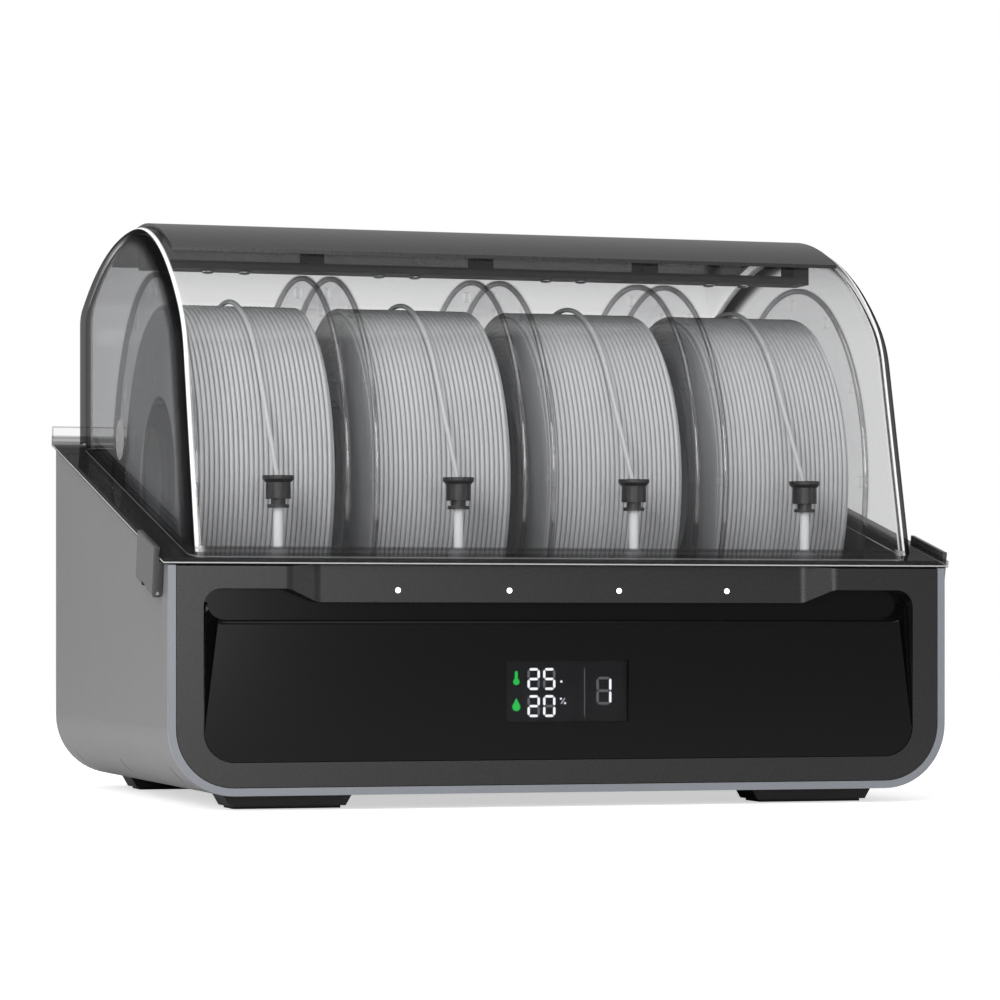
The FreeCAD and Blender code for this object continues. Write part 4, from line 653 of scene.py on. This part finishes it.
@dataclass
class Casing:
    """The grey body with its feet, latches, hinge and rear panel."""

    rear_y: float = 130.0
    rear_x: tuple[float, ...] = (-168, -60, 60, 168)
    rear_z: tuple[float, ...] = (60, 130)
    screw_radius: float = 2.6
    plate_y: float = 133.0
    plate_x: float = 115
    plate_screw_x: float = 8
    plate_z: tuple[float, ...] = (147, 160)
    plate_screw_radius: float = 2.2

    def build(self) -> None:
        """Dress the casing's solids and add its screws."""
        dress("outer_shell", Finishes.SHELL)
        dress("rear_panel", Finishes.BEZEL)
        for node in ("latch_left", "latch_right"):
            dress(node, Finishes.LATCH)
        for node in ("hinge_brackets", "lid_knuckles", "foot_blocks"):
            dress(node, Finishes.FOOT)
        for node in ("foot_pads", "lid_seal"):
            dress(node, Finishes.RUBBER)
        dress("hinge_pins", Finishes.STEEL)
        dress("outlet_coupling", Finishes.NYLON)
        dress("data_sockets", Finishes.NYLON)
        back = (0, 1, 0)
        rear = [(x, self.rear_y, z) for x in self.rear_x for z in self.rear_z]
        settle(screws("rear_screws", rear, back, self.screw_radius), "housing", Finishes.STEEL)
        plates = [(side * self.plate_x + end * self.plate_screw_x, self.plate_y, z)
                  for side in (-1, 1) for end in (-1, 1) for z in self.plate_z]
        settle(screws("hinge_screws", plates, back, self.plate_screw_radius), "housing",
               Finishes.STEEL)


@dataclass(frozen=True)
class Digit:
    """One number of the display, with its place and size in millimetres."""

    number: int
    left: float
    low: float
    wide: float = 5.9
    tall: float = 10.0


@dataclass
class Front:
    """Bezel, inset panel and the lit display."""

    segment_y: float = -154.37
    segment_back: float = -154.31
    stroke: float = 1.15
    bar_gap: float = 0.25
    icon_x: float = -23.8
    stem_z: tuple[float, float] = (58.4, 61.2)
    stem_radius: float = 0.7
    bulb_z: float = 57.0
    bulb_radius: float = 1.5
    drop_z: float = 45.6
    drop_tip_z: float = 49.6
    drop_radius: float = 1.9

    # Which bars of the seven each number lights
    LIT: ClassVar[dict[int, str]] = {0: "abcdef", 1: "bc", 2: "abged", 5: "afgcd"}
    # Temperature above, humidity below, and the lane's number on the right
    DIGITS: ClassVar[tuple[Digit, ...]] = (
        Digit(2, -18.5, 53.2), Digit(5, -11.1, 53.2), Digit(2, -18.5, 40.9), Digit(0, -11.1, 40.9),
        Digit(1, 14.4, 46.4, 7.2, 12.7))
    # The line before the lane's number
    DIVIDER: ClassVar[Outline] = [(8.5, 41.0), (8.9, 41.0), (8.9, 63.0), (8.5, 63.0)]
    # Degree dot and the two dots of the percent mark, each with its radius, then the mark's stroke
    DOTS: ClassVar[tuple[Place, ...]] = ((-2.4, 57.0, 0.55), (-2.6, 49.2, 0.5), (-0.6, 47.2, 0.5))
    SLASH: ClassVar[Outline] = [(-2.7, 46.9), (-2.4, 46.9), (-0.5, 49.5), (-0.8, 49.5)]

    def build(self) -> None:
        """Dress the front's solids and draw the display."""
        dress("front_trim", Finishes.TRIM)
        dress("front_bezel", Finishes.BEZEL)
        dress("front_panel", Finishes.PANEL)
        dress("display_window", Finishes.LENS)
        dress("display_board", Finishes.NYLON)
        dress("light_pipes", Finishes.LAMP)
        self.digits()
        self.icons()

    def lying(self, left: float, right: float, z: float) -> Outline:
        """Outline of a lying bar.

        Args:
            left: The digit's left edge in millimetres.
            right: Its right edge.
            z: Height of the bar's middle.

        Returns:
            A long hexagon.
        """
        half = self.stroke / 2
        a, b = left + half + self.bar_gap, right - half - self.bar_gap
        return [(a, z), (a + half, z - half), (b - half, z - half),
                (b, z), (b - half, z + half), (a + half, z + half)]

    def upright(self, x: float, start: float, end: float) -> Outline:
        """Outline of a standing bar.

        Args:
            x: The bar's middle in millimetres.
            start: Its lower end.
            end: Its upper end.

        Returns:
            A tall hexagon.
        """
        half = self.stroke / 2
        a, b = start + self.bar_gap, end - self.bar_gap
        return [(x, a), (x + half, a + half), (x + half, b - half),
                (x, b), (x - half, b - half), (x - half, a + half)]

    def segments(self, digit: Digit) -> dict[str, Outline]:
        """Outlines of the seven bars of a digit.

        Args:
            digit: The digit's place and size.

        Returns:
            Each bar's outline by its letter.
        """
        half = self.stroke / 2
        left, right = digit.left, digit.left + digit.wide
        low, high, middle = digit.low, digit.low + digit.tall, digit.low + digit.tall / 2
        return {
            "a": self.lying(left, right, high - half), "g": self.lying(left, right, middle),
            "d": self.lying(left, right, low + half),
            "f": self.upright(left + half, middle, high - half),
            "b": self.upright(right - half, middle, high - half),
            "e": self.upright(left + half, low + half, middle),
            "c": self.upright(right - half, low + half, middle),
        }

    def draw(self, shape: bmesh.types.BMesh, outline: Outline) -> None:
        """Raise one outline on the display's face.

        Args:
            shape: The mesh that takes it.
            outline: The outline in millimetres.
        """
        bar(shape, outline, self.segment_y, self.segment_back)

    def digits(self) -> None:
        """Draw the numbers, with their unlit bars behind them in a faint painted glow."""
        lit, dark = bmesh.new(), bmesh.new()
        for digit in self.DIGITS:
            for letter, outline in self.segments(digit).items():
                self.draw(lit if letter in self.LIT[digit.number] else dark, outline)
        self.draw(dark, self.DIVIDER)
        for x, z, radius in self.DOTS:
            self.draw(lit, arc((x, z), radius, range(12), math.pi / 6))
        self.draw(lit, self.SLASH)
        settle(mesh_object("display_digits", lit), "housing", Finishes.SEGMENT, smooth=False)
        # Unlit bars and the divider take a faint grey painted glow, though they are off
        settle(mesh_object("display_unlit_painted_glow", dark), "housing", Finishes.UNLIT_PAINTED_GLOW, smooth=False)

    def icons(self) -> None:
        """Draw the thermometer and the drop."""
        shape = bmesh.new()
        foot, top = self.stem_z
        cap = arc((self.icon_x, top), self.stem_radius, range(6, -1, -1), math.pi / 6)
        self.draw(shape, [(self.icon_x - self.stem_radius, foot), *cap, (self.icon_x + self.stem_radius, foot)])
        self.draw(shape, arc((self.icon_x, self.bulb_z), self.bulb_radius, range(20), math.pi / 10))
        drop = arc((self.icon_x, self.drop_z), self.drop_radius, range(-15, 4), math.pi / 12)
        self.draw(shape, drop + [(self.icon_x, self.drop_tip_z)])
        settle(mesh_object("display_icons", shape), "housing", Finishes.ICON, smooth=False)


@dataclass
class Lid:
    """The clear dome with its cover and rail."""

    rail_y: float = -14.0
    rail_z: float = 253.1
    screw_x: float = 9
    screw_radius: float = 3.0

    def build(self) -> None:
        """Dress the lid's solids and add the rail's screws."""
        dress("lid_shell", Finishes.LID)
        dress("lid_cover", Finishes.COVER)
        dress("lid_rail", Finishes.TRAY)
        places = [(lane_x(lane) + end * self.screw_x, self.rail_y, self.rail_z)
                  for lane in range(LANES) for end in (-1, 1)]
        settle(screws("rail_screws", places, (0, 0, -1), self.screw_radius), "lid", Finishes.STEEL)


@dataclass
class Reel:
    """One spool with its winding."""

    lane: int
    centre_y: float = -14.0
    centre_z: float = 151.5
    flange_radius: float = 100.0
    half_width: float = 37.0
    flange: float = 3.0
    turns: float = 28.0
    wound_radius: float = 84.7
    core_radius: float = 40.5
    strand: float = 2.3
    wander: float = 1.1
    hump_length: float = 22.0
    hump_middle: float = 0.62
    first_seed: float = 3.7
    seed_step: float = 11.3
    layer_gap: float = 0.4
    side_gap: float = 0.3
    ridge_low: float = 0.7
    ridge_high: float = 0.1
    bead: float = 1.3
    bead_inset: float = 1.35
    sticker_y: float = 63.0
    sticker_z: float = 175.0
    sticker_radius: float = 10.0
    sticker_depth: float = 0.2

    @property
    def body(self) -> str:
        """Name of the spool's body."""
        return f"spool_{self.lane + 1}"

    @property
    def centre(self) -> Vector:
        """Middle of the spool in millimetres."""
        return Vector((lane_x(self.lane), self.centre_y, self.centre_z))

    def build(self) -> None:
        """Dress the spool, wind its strand and add its rims."""
        dress(self.body, Finishes.SPOOL)
        self.wind()
        self.rims()
        if self.lane == 0:
            self.sticker()

    def sticker(self) -> None:
        """Put a blank round sticker on the outer face of the end flange."""
        shape = bmesh.new()
        spot = Vector((self.centre.x - self.half_width, self.sticker_y, self.sticker_z))
        rim, depth = self.sticker_radius, self.sticker_depth
        lathe(shape, [(0.05, -depth), (rim, -depth), (rim, 0.0), (0.05, 0.0)], across(spot), 48)
        settle(mesh_object("spool_sticker", shape), self.body, Finishes.STICKER, smooth=False)

    def wind(self) -> None:
        """Lay one strand in a full layer of slightly uneven turns, over the layers under it."""
        grower = Grower(f"winding_tree_{self.lane + 1}")
        turns = grower.size("Turns", "NodeSocketFloat", self.turns)
        radius = grower.size("Radius", "NodeSocketFloat", (self.wound_radius - self.strand / 2) * MM)
        room = 2 * (self.half_width - self.flange) - self.strand - 2 * self.side_gap
        width = grower.size("Width", "NodeSocketFloat", room * MM)
        thick = grower.size("Strand Radius", "NodeSocketFloat", self.strand / 2 * MM)
        wander = grower.size("Wander", "NodeSocketFloat", self.wander * MM)
        seed = grower.size("Seed", "NodeSocketFloat", self.first_seed + self.lane * self.seed_step)
        tree = grower.tree
        coil = add_node(tree, "GeometryNodeCurveSpiral", {"Resolution": 72},
                        {"Rotations": turns, "Start Radius": radius, "End Radius": radius, "Height": width})
        spot = add_node(tree, "GeometryNodeInputPosition")
        parts = add_node(tree, "ShaderNodeSeparateXYZ", links={0: spot.outputs[0]})
        outward = add_node(tree, "ShaderNodeCombineXYZ", links={"X": parts.outputs["X"], "Y": parts.outputs["Y"]})
        unit = add_node(tree, "ShaderNodeVectorMath", links={0: outward.outputs[0]}, operation="NORMALIZE")
        hump = add_node(tree, "ShaderNodeTexNoise",
                        {"Scale": 1 / (self.hump_length * MM), "Detail": 2.5, "Roughness": 0.65},
                        {"Vector": spot.outputs[0], "W": seed}, noise_dimensions="4D")
        centred = add_node(tree, "ShaderNodeMath", {1: self.hump_middle}, {0: hump.outputs["Fac"]},
                           operation="SUBTRACT")
        rise = add_node(tree, "ShaderNodeMath", links={0: centred.outputs[0], 1: wander}, operation="MULTIPLY")
        shift = add_node(tree, "ShaderNodeVectorMath", links={0: unit.outputs[0], "Scale": rise.outputs[0]},
                         operation="SCALE")
        laid = add_node(tree, "GeometryNodeSetPosition", links={"Geometry": coil.outputs[0],
                                                               "Offset": shift.outputs[0]})
        ring = add_node(tree, "GeometryNodeCurvePrimitiveCircle", {"Resolution": 8}, {"Radius": thick})
        tube = add_node(tree, "GeometryNodeCurveToMesh", {"Fill Caps": True},
                        {"Curve": laid.outputs[0], "Profile Curve": ring.outputs["Curve"]})
        back = add_node(tree, "ShaderNodeMath", {1: -0.5}, {0: width}, operation="MULTIPLY")
        middle = add_node(tree, "ShaderNodeCombineXYZ", links={"Z": back.outputs[0]})
        centred_tube = add_node(tree, "GeometryNodeTransform", links={"Geometry": tube.outputs[0],
                                                                     "Translation": middle.outputs[0]})
        turned = add_node(tree, "GeometryNodeTransform",
                          {"Rotation": (0, math.pi / 2, 0), "Translation": tuple(self.centre * MM)},
                          {"Geometry": centred_tube.outputs[0]})
        grower.close(turned.outputs[0], Finishes.FILAMENT)
        piece = grower.run(f"wound_strand_{self.lane + 1}")
        mass = self.layers()
        settle(piece, self.body, Finishes.FILAMENT)
        settle(mass, self.body, Finishes.FILAMENT, smooth=False)
        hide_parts(f"winding_{self.lane + 1}")

    def layers(self) -> bpy.types.Object:
        """Turn the wound mass under the top layer, with a ridge on its sides for each layer.

        Returns:
            The mass as a mesh object.
        """
        shape = bmesh.new()
        half = self.half_width - self.flange - self.side_gap
        outer = self.wound_radius - self.strand - self.layer_gap
        valley, crest = half - self.ridge_low, half - self.ridge_high
        side = []
        for layer in range(int((outer - self.core_radius) / self.strand)):
            low = self.core_radius + layer * self.strand
            side += [(low, valley), (low + self.strand * 0.25, crest), (low + self.strand * 0.75, crest)]
        side.append((outer, valley))
        lathe(shape, [(r, -h) for r, h in side] + [(r, h) for r, h in reversed(side)], across(self.centre), 96)
        return mesh_object(f"wound_mass_{self.lane + 1}", shape)

    def rims(self) -> None:
        """Turn a bead on each flange's rim."""
        shape = bmesh.new()
        for side in (-1, 1):
            middle = self.flange_radius - self.bead_inset, side * (self.half_width - self.flange / 2)
            lathe(shape, arc(middle, self.bead, range(10), math.pi / 5), across(self.centre), 128)
        settle(mesh_object(f"flange_rims_{self.lane + 1}", shape), self.body, Finishes.RIM)


@dataclass
class FeedPath:
    """Funnels, tubes and drives."""

    def build(self) -> None:
        """Dress the solids of the filament's way to the outlet."""
        for node in ("inlet_funnels", "feeder_frames", "merge_hub"):
            dress(node, Finishes.NYLON)
        for node in ("feed_tubes", "hub_tubes"):
            dress(node, Finishes.TUBE)
        dress("tube_grommets", Finishes.GROMMET)
        dress("filament_leads", Finishes.FILAMENT)
        dress("feed_motors", Finishes.CAN)
        for lane in range(LANES):
            dress(f"drive_gear_{lane + 1}", Finishes.BRASS)
            for end in ("front", "rear"):
                dress(f"roller_{lane + 1}_{end}", Finishes.ROLLER)
        for node in ("spool_tray", "roller_brackets"):
            dress(node, Finishes.TRAY)
        dress("main_board", Finishes.BOARD)


@dataclass
class DryStore:
    """Boxes of drying beads on the rear shelf."""

    bead_radius: float = 1.8
    box_length: float = 115.0
    box_width: float = 20.0
    box_x: float = 90.0
    box_y: float = 104.0
    bead_z: float = 159.0
    bead_shift: Place = (0.9, 0.9, 2.5)
    seed: int = 5

    def build(self) -> None:
        """Dress the boxes and fill them with beads."""
        dress("desiccant_boxes", Finishes.DRYBOX)
        dress("desiccant_covers", Finishes.DRYBOX)
        for side in (-1, 1):
            self.fill(side)

    def fill(self, side: int) -> None:
        """Pour a layer of beads into one box.

        Args:
            side: -1 for the left box, 1 for the right.
        """
        grower = Grower(f"bead_tree_{side + 1}")
        length = grower.size("Length", "NodeSocketFloat", self.box_length * MM)
        width = grower.size("Width", "NodeSocketFloat", self.box_width * MM)
        radius = grower.size("Bead Radius", "NodeSocketFloat", self.bead_radius * MM)
        tree = grower.tree
        sheet = add_node(tree, "GeometryNodeMeshGrid", {"Vertices X": 28, "Vertices Y": 5},
                         {"Size X": length, "Size Y": width})
        most = [shift * MM for shift in self.bead_shift]
        jitter = add_node(tree, "FunctionNodeRandomValue",
                          {0: [-shift for shift in most], 1: most, "Seed": self.seed + side},
                          data_type="FLOAT_VECTOR")
        loose = add_node(tree, "GeometryNodeSetPosition", links={"Geometry": sheet.outputs["Mesh"],
                                                                "Offset": jitter.outputs[0]})
        spots = add_node(tree, "GeometryNodeMeshToPoints", links={0: loose.outputs[0]})
        bead = add_node(tree, "GeometryNodeMeshIcoSphere", {"Subdivisions": 2}, {"Radius": radius})
        poured = add_node(tree, "GeometryNodeInstanceOnPoints", links={"Points": spots.outputs[0],
                                                                      "Instance": bead.outputs["Mesh"]})
        placed = add_node(tree, "GeometryNodeTransform",
                          {"Translation": (side * self.box_x * MM, self.box_y * MM, self.bead_z * MM)},
                          {"Geometry": poured.outputs[0]})
        grower.close(placed.outputs[0], Finishes.BEADS)
        settle(grower.run(f"drying_beads_{'left' if side < 0 else 'right'}"), "housing",
               Finishes.BEADS)


@dataclass(frozen=True)
class Lamp:
    """One soft lamp: place and size in metres, power in watts."""

    name: str
    place: Place
    size: tuple[float, float]
    power: float


@dataclass
class Studio:
    """Floor, light and the photograph's camera."""

    focal_px: float = 3836.7
    frame_px: float = 1000.0
    horizon_px: float = 626.9
    yaw_deg: float = 16.465
    place: Place = (-0.5244, -1.8220, 0.0819)
    sensor_mm: float = 36.0
    floor_glow: float = 0.58
    sky_as_light: float = 0.45
    aim_z: float = 0.12

    # Wide above, panels at both sides, and two in front that light the windings through the lid
    LAMPS: ClassVar[tuple[Lamp, ...]] = (
        Lamp("lamp_above", (-0.3, -0.5, 1.6), (1.6, 1.2), 11.0),
        Lamp("lamp_left", (-1.7, -0.3, 0.7), (0.9, 1.2), 12.0),
        Lamp("lamp_right", (1.3, -0.9, 0.6), (0.25, 1.0), 3.0),
        Lamp("lamp_front", (0.1, -3.4, 0.5), (0.9, 1.0), 13.0),
        Lamp("lamp_fill", (-1.2, -2.0, 0.9), (1.0, 1.0), 24.0))

    def build(self) -> None:
        """Set up floor, world, lamps and camera."""
        scene = bpy.context.scene
        scene.view_settings.view_transform = "Standard"
        scene.cycles.transparent_max_bounces = 40
        self.floor()
        self.world(scene)
        self.lamps()
        self.camera(scene)

    def floor(self) -> None:
        """Lay a pale floor that keeps the shadow."""
        shape = bmesh.new()
        bmesh.ops.create_grid(shape, x_segments=1, y_segments=1, size=4.0)
        ground = mesh_object("studio_floor", shape)
        material, tree = blank_material("studio_paper_white")
        path = add_node(tree, "ShaderNodeLightPath")
        matt = add_node(tree, "ShaderNodeBsdfDiffuse", {"Color": linear("#f2f2f2")})
        glow = add_node(tree, "ShaderNodeEmission", {"Color": (1, 1, 1, 1), "Strength": self.floor_glow})
        both = add_node(tree, "ShaderNodeAddShader", links={0: matt.outputs[0], 1: glow.outputs[0]})
        shown = add_node(tree, "ShaderNodeMixShader", links={0: path.outputs["Is Camera Ray"], 1: matt.outputs[0],
                                                            2: both.outputs[0]})
        add_node(tree, "ShaderNodeOutputMaterial", links={"Surface": shown.outputs[0]})
        ground.data.materials.append(material)

    def world(self, scene: bpy.types.Scene) -> None:
        """White to the camera, softer as a light.

        Args:
            scene: The scene that takes the world.
        """
        world = bpy.data.worlds.new("studio_white")
        world.use_nodes = True
        tree = world.node_tree
        tree.nodes.clear()
        path = add_node(tree, "ShaderNodeLightPath")
        seen = add_node(tree, "ShaderNodeMapRange", {"To Min": self.sky_as_light, "To Max": 1.0},
                        {"Value": path.outputs["Is Camera Ray"]})
        sky = add_node(tree, "ShaderNodeBackground", {"Color": (1, 1, 1, 1)}, {"Strength": seen.outputs["Result"]})
        add_node(tree, "ShaderNodeOutputWorld", links={"Surface": sky.outputs[0]})
        scene.world = world

    def lamps(self) -> None:
        """Hang the lamps and turn them to the box."""
        for plan in self.LAMPS:
            data = bpy.data.lights.new(plan.name, "AREA")
            data.shape = "RECTANGLE"
            data.size, data.size_y = plan.size
            data.energy = plan.power
            lamp = bpy.data.objects.new(plan.name, data)
            lamp.location = plan.place
            aim = Vector((0, 0, self.aim_z)) - Vector(plan.place)
            lamp.rotation_euler = aim.to_track_quat("-Z", "Y").to_euler()
            bpy.context.scene.collection.objects.link(lamp)

    def camera(self, scene: bpy.types.Scene) -> None:
        """Put the camera where the photograph was taken.

        Args:
            scene: The scene that takes the camera.
        """
        data = bpy.data.cameras.new("photo_camera")
        data.sensor_width = self.sensor_mm
        data.lens = self.focal_px / self.frame_px * self.sensor_mm
        data.shift_y = (self.horizon_px - self.frame_px / 2) / self.frame_px
        eye = bpy.data.objects.new("photo_camera", data)
        eye.location = self.place
        eye.rotation_euler = (math.pi / 2, 0, -math.radians(self.yaw_deg))
        scene.collection.objects.link(eye)
        scene.camera = eye


def main() -> None:
    """Build every sub-assembly in order."""
    logging.basicConfig(level=logging.INFO, format="%(message)s")
    Casing().build()
    Front().build()
    Lid().build()
    for lane in range(LANES):
        Reel(lane).build()
    FeedPath().build()
    DryStore().build()
    Studio().build()


if __name__ == "__main__":
    main()
